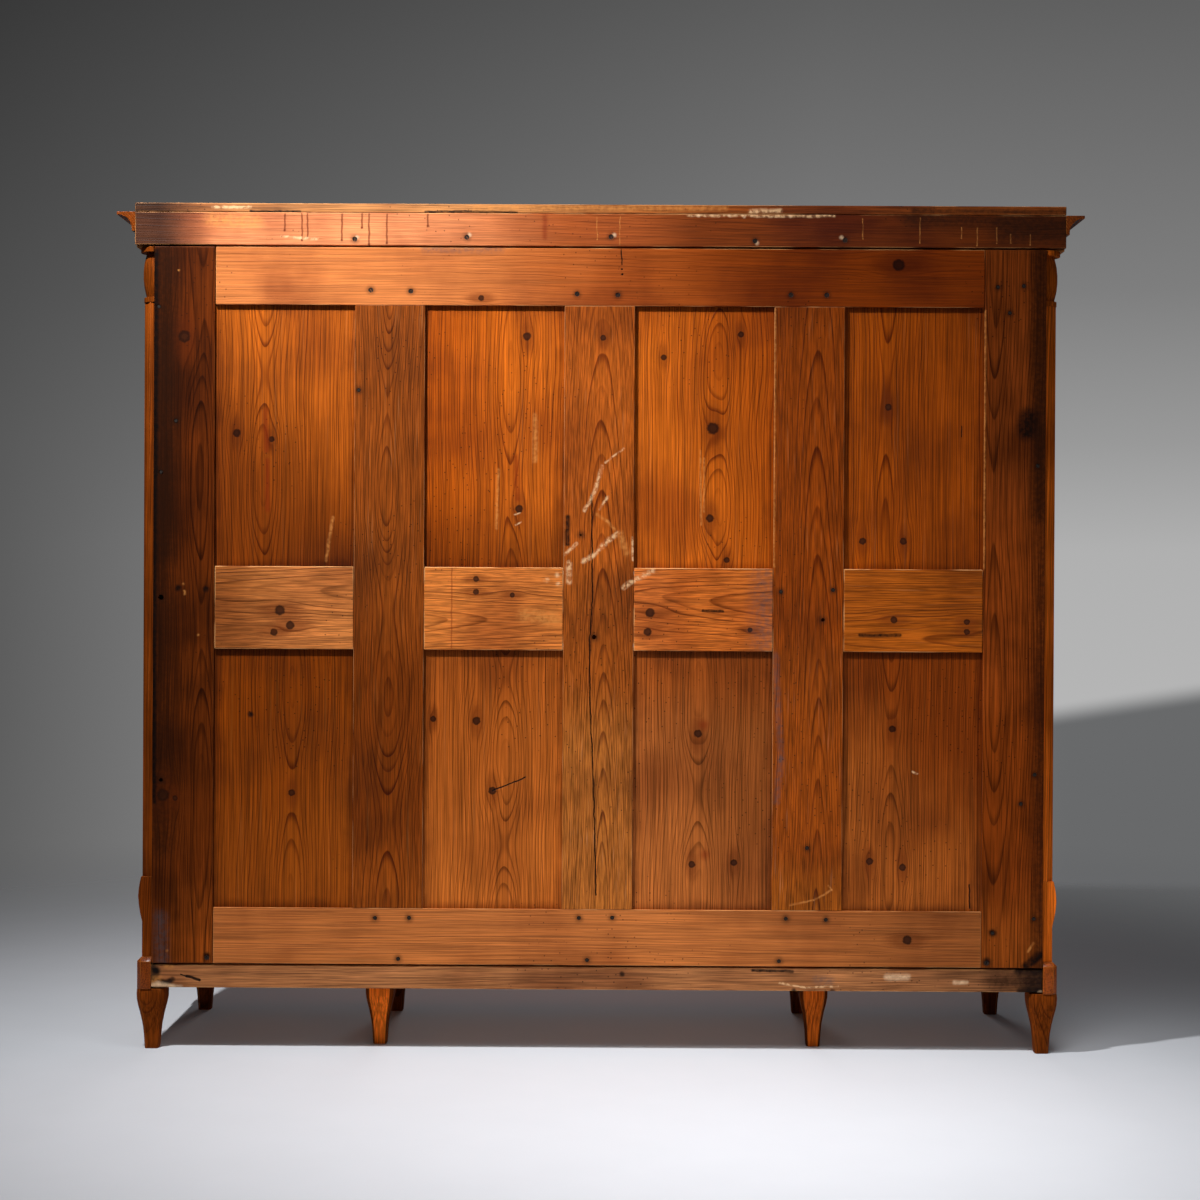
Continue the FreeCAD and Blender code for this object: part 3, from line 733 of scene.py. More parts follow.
@dataclass(frozen=True)
class GlassFinish:
    """Old drawn glass: clear, with a slight wave."""

    colour: Colour
    wave: float

    # How often the wave repeats in a metre along each axis, the gloss and the bending of light
    WAVES = (9.0, 9.0, 2.5)
    GLOSS = 0.03
    REFRACTION = 1.5

    def material(self, name: str) -> bpy.types.Material:
        """The glass: clear seen straight on, and glossy seen aslant.

        Args:
            name: The material's name.

        Returns:
            The material.
        """
        surface = Surface(name)
        ripple = surface.noise(surface.stretched(surface.object_place(), self.WAVES), 1.0)
        normal = surface.bump(ripple, self.wave)
        clear = surface.node("BsdfTransparent", {}, {"Color": self.colour})
        gloss = surface.node("BsdfGlossy", {}, {"Roughness": self.GLOSS, "Normal": normal})
        slant = surface.node("Fresnel", {}, {"IOR": self.REFRACTION})
        both = surface.node("MixShader", {}, {0: slant, 1: clear, 2: gloss})
        output = surface.tree.nodes["Material Output"]
        surface.feed(output.inputs["Surface"], both)
        surface.tree.nodes.remove(surface.shader)
        return surface.material


class Slot(Enum):
    """Names of material slots for the pieces made here; they are passed along, and no piece is given one.
    """

    PINE = "old_pine"
    POLISHED = "polished_wood"
    IRON = "iron"


@dataclass(frozen=True)
class Pit:
    """A pit sunk into the back: its place as X and Z, its radius and its depth."""

    x: float
    z: float
    radius: float
    depth: float


class Solid:
    """One solid of a CAD node, as a mesh that is eased, drilled and laid in its log."""

    # Vertices this near are one, faces this nearly flat are one, and edges this sharp are eased
    MERGE = 1e-6
    FLAT = math.radians(0.5)
    CREASE = math.radians(25)

    # Edges below this angle are shaded as one surface
    SOFT = math.radians(18)

    # How far a pit's tool stands clear of the face, its sides, and its bottom's share of its radius
    CLEAR = 0.002
    PIT_SIDES = 16
    PIT_TAPER = 0.8

    # How nearly a face has to look one way to be toned with it
    FACING = 0.85

    # What a closed solid has at least, and what a copied mesh has to lose
    FEWEST_FACES = 4
    STORED_NORMALS = {"custom_normal"}

    # The ranges of chance cuts: how far the pith lies aside and before the face, its tilt, and the start
    LOG_ASIDE = 0.06
    LOG_DEPTHS = (0.015, 0.09)
    LOG_TILT = 0.05
    LOG_STARTS = (3.0, 9.0)

    def __init__(self, mesh: bmesh.types.BMesh) -> None:
        """Takes the mesh over, measures it and gives it room for what the shaders read.

        Args:
            mesh: The mesh.
        """
        self.mesh = mesh
        mesh.verts.layers.float_vector.new(LOG)
        mesh.faces.layers.float.new(TINT)
        mesh.faces.layers.float.new(WORN)
        places = [tuple(vert.co) for vert in mesh.verts]
        self.low = Vector([min(values) for values in zip(*places)])
        self.high = Vector([max(values) for values in zip(*places)])
        self.middle = (self.low + self.high) / 2

    @classmethod
    def all_of(cls, node: str) -> list["Solid"]:
        """Takes a CAD node apart.

        Args:
            node: The node's name.

        Returns:
            Its solids, with flat faces in one piece.
        """
        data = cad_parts[node].data.copy()
        for name in cls.STORED_NORMALS & set(data.attributes.keys()):
            data.attributes.remove(data.attributes[name])
        whole = bmesh.new()
        whole.from_mesh(data)
        bpy.data.meshes.remove(data)
        bmesh.ops.remove_doubles(whole, verts=whole.verts[:], dist=cls.MERGE)
        whole.faces.ensure_lookup_table()
        solids = []
        for members in cls.face_groups(whole):
            if len(members) < cls.FEWEST_FACES:
                continue
            alone = whole.copy()
            others = [face for face in alone.faces if face.index not in members]
            bmesh.ops.delete(alone, geom=others, context="FACES")
            open_edges = [edge for edge in alone.edges if edge.is_boundary]
            bmesh.ops.holes_fill(alone, edges=open_edges, sides=0)
            bmesh.ops.recalc_face_normals(alone, faces=alone.faces[:])
            bmesh.ops.dissolve_limit(alone, angle_limit=cls.FLAT, verts=alone.verts[:],
                                     edges=alone.edges[:])
            solids.append(cls(alone))
        whole.free()
        return solids

    @staticmethod
    def face_groups(whole: bmesh.types.BMesh) -> list[set[int]]:
        """Groups faces that hang together across edges of exactly two faces.

        Args:
            whole: The mesh; solids that touch share edges of more faces.

        Returns:
            The indices of each group's faces.
        """
        groups = []
        left = set(range(len(whole.faces)))
        while left:
            start = left.pop()
            members = {start}
            queue = [whole.faces[start]]
            while queue:
                face = queue.pop()
                for edge in face.edges:
                    if len(edge.link_faces) != 2:
                        continue
                    for other in edge.link_faces:
                        if other.index in left:
                            left.discard(other.index)
                            members.add(other.index)
                            queue.append(other)
            groups.append(members)
        return groups

    def squeeze(self, axis: int, gap: float) -> None:
        """Draws both sides in by a gap, so that a seam opens beside the next board.

        Args:
            axis: The axis from side to side.
            gap: How far each side is drawn in.
        """
        factors = [1.0, 1.0, 1.0]
        factors[axis] = 1.0 - 2 * gap / (self.high[axis] - self.low[axis])
        about_middle = Matrix.Translation(-self.middle)
        bmesh.ops.scale(self.mesh, vec=factors, space=about_middle, verts=self.mesh.verts[:])

    def ease(self, width: float) -> None:
        """Rounds the outer edges, and marks the new faces as open to wear.

        Args:
            width: How wide the rounding is.
        """
        edges = [edge for edge in self.mesh.edges
                 if edge.is_manifold and edge.is_convex and edge.calc_face_angle() > self.CREASE]
        made = bmesh.ops.bevel(self.mesh, geom=edges, offset=width, offset_type="OFFSET", segments=2,
                               profile=0.5, affect="EDGES", clamp_overlap=True, material=-1)
        worn = self.mesh.faces.layers.float[WORN]
        for face in made["faces"]:
            face[worn] = 1.0

    def drill(self, pits: Iterable[Pit]) -> None:
        """Sinks round pits into the face that looks to the rear.

        Args:
            pits: The pits.
        """
        tool = bmesh.new()
        for pit in pits:
            place = Vector((pit.x, self.high.y, pit.z))
            turn = Matrix.Rotation(-math.pi / 2, 4, "X")
            height = pit.depth + self.CLEAR
            rise = Matrix.Translation(place + Vector((0, self.CLEAR - height / 2, 0)))
            bmesh.ops.create_cone(tool, cap_ends=True, segments=self.PIT_SIDES,
                                  radius1=pit.radius * self.PIT_TAPER, radius2=pit.radius,
                                  depth=height, matrix=rise @ turn)
        self.cut(tool)

    def cut(self, tool: bmesh.types.BMesh) -> None:
        """Takes a tool's shape out of the solid.

        Args:
            tool: The shape, which is given up.
        """
        pair = []
        for name, mesh in (("board", self.mesh), ("tool", tool)):
            data = bpy.data.meshes.new(name)
            mesh.to_mesh(data)
            pair.append(bpy.data.objects.new(name, data))
            bpy.context.scene.collection.objects.link(pair[-1])
        board, cutter = pair
        step = board.modifiers.new("cut", "BOOLEAN")
        step.operation = "DIFFERENCE"
        step.solver = "EXACT"
        step.object = cutter
        evaluated = board.evaluated_get(bpy.context.evaluated_depsgraph_get())
        result = bpy.data.meshes.new_from_object(evaluated)
        self.mesh.clear()
        self.mesh.from_mesh(result)
        tool.free()
        bpy.data.meshes.remove(result)
        for thing in pair:
            data = thing.data
            bpy.data.objects.remove(thing)
            bpy.data.meshes.remove(data)

    def lay(self, figure: Figure, along: int, across: int, shift: float = 0.0) -> None:
        """Gives each vertex its place in the log: across it, in depth from the pith, and along it.

        Args:
            figure: How the board was cut.
            along: The axis that runs with the grain.
            across: The axis across the board's face.
            shift: How far along the log the board starts.
        """
        behind = X + Y + Z - along - across
        layer = self.mesh.verts.layers.float_vector[LOG]
        for vert in self.mesh.verts:
            reach = vert.co[along] - self.middle[along]
            vert[layer] = (vert.co[across] - self.middle[across] - figure.aside,
                           self.high[behind] - vert.co[behind] + figure.depth + figure.tilt * reach,
                           vert.co[along] + shift)

    def tone(self, tint: float, towards: Vector = Vector()) -> None:
        """Makes the solid lighter or darker than its neighbours, or only its faces that look one way.

        Args:
            tint: Above 0 for lighter, and below 0 for darker.
            towards: The way that the toned faces look; all are toned without it.
        """
        tints = self.mesh.faces.layers.float[TINT]
        for face in self.mesh.faces:
            if not towards.length or face.normal.dot(towards) > self.FACING:
                face[tints] = tint

    def lay_by_chance(self, chance: random.Random) -> None:
        """Lays the solid along its longest side, in a log of its own.

        Args:
            chance: Where the cut comes from.
        """
        size = self.high - self.low
        along, across, _ = sorted((X, Y, Z), key=lambda axis: -size[axis])
        aside = chance.uniform(-self.LOG_ASIDE, self.LOG_ASIDE)
        depth = chance.uniform(*self.LOG_DEPTHS)
        tilt = chance.uniform(-self.LOG_TILT, self.LOG_TILT)
        self.lay(Figure(aside, depth, tilt), along, across, chance.uniform(*self.LOG_STARTS))


def pour(mesh: bmesh.types.BMesh, whole: bmesh.types.BMesh) -> None:
    """Adds a mesh to a larger one.

    Args:
        mesh: The mesh, which is given up.
        whole: The larger mesh.
    """
    data = bpy.data.meshes.new("poured")
    mesh.to_mesh(data)
    mesh.free()
    whole.from_mesh(data)
    bpy.data.meshes.remove(data)


def add_piece(name: str, mesh: bmesh.types.BMesh, material: bpy.types.Material, body: str, slot: Slot,
              *nodes: str) -> None:
    """Makes a piece of a mesh that is already in its place.

    Args:
        name: The piece's name.
        mesh: Its mesh, which is given up.
        material: Its finish.
        body: The CAD body that it rides on.
        slot: Not used.
        nodes: The CAD nodes that it stands for.
    """
    data = bpy.data.meshes.new(name)
    mesh.to_mesh(data)
    mesh.free()
    data.shade_smooth()
    data.set_sharp_from_angle(angle=Solid.SOFT)
    data.materials.append(material)
    piece = bpy.data.objects.new(name, data)
    bpy.context.scene.collection.objects.link(piece)
    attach(piece, body)
    if nodes:
        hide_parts(*nodes)
    log.info("%s on %s: %d faces", name, body, len(data.polygons))


def dress(node: str, material: bpy.types.Material) -> None:
    """Gives a CAD node that is shown as it is its finish.

    Args:
        node: The node.
        material: Its finish.
    """
    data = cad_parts[node].data
    data.materials.clear()
    data.materials.append(material)
    log.info("%s as in the CAD model", node)


@dataclass
class WoodGroup:
    """Wooden nodes on one body that share a finish, each of which becomes one piece with eased edges."""

    nodes: tuple[str, ...]
    body: str
    slot: Slot
    ease: float
    tint: float = 0.0

    def build(self, material: bpy.types.Material) -> None:
        """Makes a piece for each node, with a grain of its own for each solid.

        Args:
            material: The pieces' finish.
        """
        for node in self.nodes:
            chance = random.Random(node)
            whole = bmesh.new()
            for solid in Solid.all_of(node):
                solid.ease(self.ease)
                solid.lay_by_chance(chance)
                self.tone(solid, chance)
                pour(solid.mesh, whole)
            add_piece(node + "_finished", whole, material, self.body, self.slot, node)

    def tone(self, solid: Solid, chance: random.Random) -> None:
        """Makes a solid lighter or darker, partly by chance."""
        solid.tone(self.tint + chance.uniform(-1.0, 1.0))


@dataclass
class Feet(WoodGroup):
    """Club feet: dark at the rear corners, painted lit and shaded between them, nearly black painted shade
    in front.
    """

    # Tints: the rear corners darker; painted light on the rear faces of the middle rear feet, painted shade
    # on their sides and on the front feet
    corner: float = -1.9
    pale: float = 8.5
    dark: float = -3.4
    corner_reach: float = 0.8

    def tone(self, solid: Solid, chance: random.Random) -> None:
        """Tints a foot by its place; a middle one gets painted light behind and painted shade on its sides.

        Args:
            solid: The foot.
            chance: Left alone, because the place alone decides.
        """
        is_rear = solid.middle.y > 0
        is_corner = abs(solid.middle.x) > self.corner_reach
        solid.tone(self.corner if is_rear and is_corner else self.dark)
        if is_rear and not is_corner:
            solid.tone(self.pale, Vector((0, 1, 0)))


@dataclass
class Columns(WoodGroup):
    """Half columns, of which the rear ones are painted lighter on the camera's right, as painted light."""

    # Tints of the rear columns and capitals: those on the camera's right are lighter as painted light,
    # where the lamps leave them in shade
    dark: float = -0.8
    light: float = 9.0
    dark_capital: float = -2.4
    light_capital: float = 3.0
    capital_height: float = 1.7

    def tone(self, solid: Solid, chance: random.Random) -> None:
        """Tints a rear column or capital by its side, painting light on the right one, and a front one as
        the rest of the wood.

        Args:
            solid: The column or capital.
            chance: Where the tint of a front one comes from.
        """
        is_dark = solid.middle.x > 0
        if solid.middle.y < 0:
            super().tone(solid, chance)
        elif solid.middle.z > self.capital_height:
            solid.tone(self.dark_capital if is_dark else self.light_capital)
        else:
            solid.tone(self.dark if is_dark else self.light)


PANEL = WoodFinish(shown(186, 92, 18), shown(108, 40, 4))
RED_PANEL = WoodFinish(shown(188, 86, 8), shown(108, 36, 2))
LOW_PANEL = WoodFinish(shown(165, 87, 28), shown(100, 46, 10))
DUSTY_PANEL = WoodFinish(shown(160, 88, 36), shown(100, 50, 16))
MUNTIN = WoodFinish(shown(150, 73, 18), shown(80, 26, 4))
RED_MUNTIN = WoodFinish(shown(150, 66, 8), shown(80, 24, 2))
STILE = WoodFinish(shown(98, 42, 8), shown(44, 14, 2), worn=shown(120, 60, 22), patina=0.7, specular=0.04)
# The mid rails' eased edges are worn pale at full wear: rubbed wear, and a painted highlight along their
# lit top edges
MID_RAIL = WoodFinish(shown(190, 108, 46), shown(112, 54, 16), wear=1.0)
PALE_MID_RAIL = WoodFinish(shown(192, 116, 58), shown(112, 58, 22), wear=1.0)
RED_MID_RAIL = WoodFinish(shown(182, 92, 20), shown(104, 42, 6), wear=0.9)
# The top rail's pale colour is partly a painted sheen of the key lamp at the camera's left
TOP_RAIL = WoodFinish(shown(198, 116, 60), shown(133, 66, 25), contrast=0.5, grain=0.55, patina=0.6,
                      wear=0.9)
BOTTOM_RAIL = WoodFinish(shown(180, 104, 50), shown(122, 64, 26), contrast=0.5, grain=0.75, wear=0.9)
# The cornice board's pale colour is partly a painted sheen of the key lamp at the camera's left
CORNICE_BOARD = WoodFinish(shown(215, 133, 84), shown(143, 72, 32), contrast=0.5, grain=0.6, patina=0.7,
                           specular=0.12)
# The dust board's pale colour is partly a painted sheen of the key lamp at the camera's left
DUST_BOARD_WITH_SHEEN = WoodFinish(shown(186, 124, 70), shown(124, 66, 26), contrast=0.5, patina=0.7, specular=0.12)
PLINTH_RAIL = WoodFinish(shown(168, 108, 64), shown(112, 66, 36), contrast=0.55, patina=0.6, wear=0.8)
INSIDE = WoodFinish(shown(178, 112, 58), shown(132, 76, 34), contrast=0.6, patina=0.35, pecks=0.0)
POLISHED = WoodFinish(shown(146, 68, 15), shown(80, 28, 4), worn=shown(190, 112, 44), contrast=0.75,
                      wear=0.35, roughness=0.28, specular=0.12, coat=0.06, pecks=0.0)
RUBBED = WoodFinish(shown(150, 70, 14), shown(84, 31, 4), worn=shown(170, 96, 40), contrast=0.75,
                    wear=0.35, specular=0.03, pecks=0.0)
BRASS = MetalFinish(shown(196, 152, 76), shown(104, 74, 36), spread=0.2, roughness=0.3)
IRON = MetalFinish(shown(52, 44, 38), shown(32, 22, 16), spread=0.34, roughness=0.55)
GLASS = GlassFinish(shown(244, 250, 248), wave=0.0006)


# How much wider the drop at the foot of a run is than the run
DROP = 1.4


def path(kind: MarkKind, width: float, *places: Place) -> tuple[Mark, ...]:
    """Marks of one kind from place to place."""
    return tuple(Mark(kind, start, end, width) for start, end in zip(places, places[1:]))


def dots(kind: MarkKind, width: float, *places: Place) -> tuple[Mark, ...]:
    """Round marks of one kind."""
    return tuple(Mark(kind, place, place, width) for place in places)


def runs(kind: MarkKind, width: float, top: float, *feet: Place) -> tuple[Mark, ...]:
    """Marks that run straight down from one height to a drop at each foot."""
    return tuple(Mark(kind, (x, top), (x, z), width) for x, z in feet) + dots(kind, width * DROP, *feet)


def panel_cut(aside: float, sway: float, swing: float, ring: float = 0.007) -> Figure:
    """How a panel was cut: close to the pith, with wide year rings that sway."""
    return Figure(aside=aside, depth=0.03, sway=sway, swing=swing, ring=ring)


@dataclass(frozen=True)
class Board:
    """One board of the back, as the camera sees it: its finish, its cut and what has happened to it."""

    name: str
    finish: WoodFinish
    figure: Figure
    tone: float = 1.0
    knots: tuple[Knot, ...] = ()
    marks: tuple[Mark, ...] = ()
    fades: tuple[Fade, ...] = ()
    nails: tuple[Place, ...] = ()
    screws: tuple[Place, ...] = ()
    pits: tuple[Pit, ...] = ()

    def toned(self) -> WoodFinish:
        """The finish, made lighter or darker by the board's tone.

        Returns:
            The board's own finish.
        """
        early, late = (tuple(c * self.tone for c in colour[:3]) + (1.0,)
                       for colour in (self.finish.early, self.finish.late))
        return replace(self.finish, early=early, late=late)


@dataclass
class Fasteners:
    """Nail and screw heads that sit in pits in the back, and the two pieces that hold them."""

    nail_radius: float = 0.005
    nail_sunk: float = 0.0006
    screw_radius: float = 0.006
    screw_sunk: float = 0.0012
    slot_width: float = 0.0016
    slot_depth: float = 0.0012
    room: float = 0.0009
    head_depth: float = 0.002
    rust_width: float = 0.017
    nail_sides: int = 12
    nail_taper: float = 0.7
    screw_sides: int = 18

    def __post_init__(self) -> None:
        """Starts the two meshes."""
        self.nails = bmesh.new()
        self.screws = bmesh.new()
        self.chance = random.Random("fasteners")

    def pits(self, board: Board) -> list[Pit]:
        """The pits that a board's heads sit in, and its other holes.

        Args:
            board: The board.

        Returns:
            Its pits: for nails, for screws, and open ones.
        """
        depth = self.screw_sunk + self.head_depth / 2
        nails = [Pit(x, z, self.nail_radius + self.room, depth) for x, z in board.nails]
        screws = [Pit(x, z, self.screw_radius + self.room, depth) for x, z in board.screws]
        return nails + screws + list(board.pits)

    def rust(self, board: Board) -> tuple[Mark, ...]:
        """The rust round each of a board's heads and holes."""
        places = board.nails + board.screws + tuple((pit.x, pit.z) for pit in board.pits)
        return dots(RUST, self.rust_width, *places)

    def set_heads(self, board: Board, face: float) -> None:
        """Sets a board's heads below its face.

        Args:
            board: The board.
            face: Where its face lies on Y.
        """
        for x, z in board.nails:
            turn = self.turned(x, face - self.nail_sunk - self.head_depth / 2, z)
            bmesh.ops.create_cone(self.nails, cap_ends=True, segments=self.nail_sides,
                                  radius1=self.nail_radius, radius2=self.nail_radius * self.nail_taper,
                                  depth=self.head_depth, matrix=turn)
        for x, z in board.screws:
            self.screw(self.turned(x, face - self.screw_sunk, z))

    def turned(self, x: float, y: float, z: float) -> Matrix:
        """A place on the back, with the head's axis towards the rear and a chance turn about it."""
        spin = Matrix.Rotation(self.chance.uniform(0, math.tau), 4, "Z")
        return Matrix.Translation((x, y, z)) @ Matrix.Rotation(-math.pi / 2, 4, "X") @ spin

    def screw(self, place: Matrix) -> None:
        """Adds a slotted head: a disc, a sunk strip across it, and a rim.

        Args:
            place: The head's place and turn.
        """
        head = bmesh.new()
        bmesh.ops.create_circle(head, cap_ends=True, segments=self.screw_sides,
                                radius=self.screw_radius)
        for side in (-0.5, 0.5):
            bmesh.ops.bisect_plane(head, geom=head.verts[:] + head.edges[:] + head.faces[:],
                                   plane_co=(side * self.slot_width, 0, 0), plane_no=(1, 0, 0))
        strip = min(head.faces, key=lambda face: abs(face.calc_center_median().x))
        outline = [edge for edge in head.edges if edge.is_boundary]
        rim = bmesh.ops.extrude_edge_only(head, edges=outline)["geom"]
        lower = [vert for vert in rim if isinstance(vert, bmesh.types.BMVert)]
        bmesh.ops.translate(head, vec=(0, 0, -self.head_depth), verts=lower)
        sunk = bmesh.ops.extrude_face_region(head, geom=[strip])["geom"]
        bottom = [vert for vert in sunk if isinstance(vert, bmesh.types.BMVert)]
        bmesh.ops.translate(head, vec=(0, 0, -self.slot_depth), verts=bottom)
        bmesh.ops.delete(head, geom=[strip], context="FACES_ONLY")
        bmesh.ops.recalc_face_normals(head, faces=head.faces[:])
        bmesh.ops.transform(head, matrix=place, verts=head.verts[:])
        pour(head, self.screws)

    def build(self, material: bpy.types.Material) -> None:
        """Makes the two pieces."""
        add_piece("nail_heads", self.nails, material, "carcass", Slot.IRON)
        add_piece("screw_heads", self.screws, material, "carcass", Slot.IRON)


@dataclass
class BoardRow:
    """The boards of one CAD node, each of which becomes a piece of its own.

    Boards are listed as the camera sees them, upper ones first and from left to right.
    """

    node: str
    along: int
    boards: tuple[Board, ...]
    ease: float = 0.0016
    seam: float = 0.0005
    # Whether the boards' rims are darkened by painted shade and dirt
    has_shaded_dirty_rim: bool = False

    def build(self, fasteners: Fasteners) -> None:
        """Eases, drills, lays and places each board.

        Args:
            fasteners: What sets the boards' nails and screws.
        """
        across = X + Z - self.along
        solids = sorted(Solid.all_of(self.node), key=self.reading_order)
        for board, solid in zip(self.boards, solids, strict=True):
            knots = [self.in_log(knot, board.figure, solid, across) for knot in board.knots]
            edges = (solid.low.x, solid.high.x, solid.low.z, solid.high.z) if self.has_shaded_dirty_rim else ()
            solid.squeeze(across, self.seam)
            solid.ease(self.ease)
            pits = fasteners.pits(board)
            if pits:
                solid.drill(pits)
                fasteners.set_heads(board, solid.high.y)
            solid.lay(board.figure, self.along, across)
            timber = Timber(board.name + "_wood", board.toned(), board.figure)
            material = timber.paint(knots, fasteners.rust(board) + board.marks, edges, board.fades)
            add_piece(board.name, solid.mesh, material, "carcass", Slot.PINE, self.node)

    @staticmethod
    def reading_order(solid: Solid) -> Place:
        """What sorts upper boards first, and those of one height from the camera's left to its right."""
        return -round(solid.middle.z, 2), -solid.middle.x

    def in_log(self, knot: Knot, figure: Figure, solid: Solid, across: int) -> LogKnot:
        """A knot's place in the board's log.

        Args:
            knot: The knot on the back.
            figure: How its board was cut.
            solid: The board's solid.
            across: The axis across the board's face.

        Returns:
            The knot in the log.
        """
        place = (knot.x, REAR, knot.z)
        aside = place[across] - solid.middle[across] - figure.aside
        return LogKnot(aside, place[self.along], knot.radius)


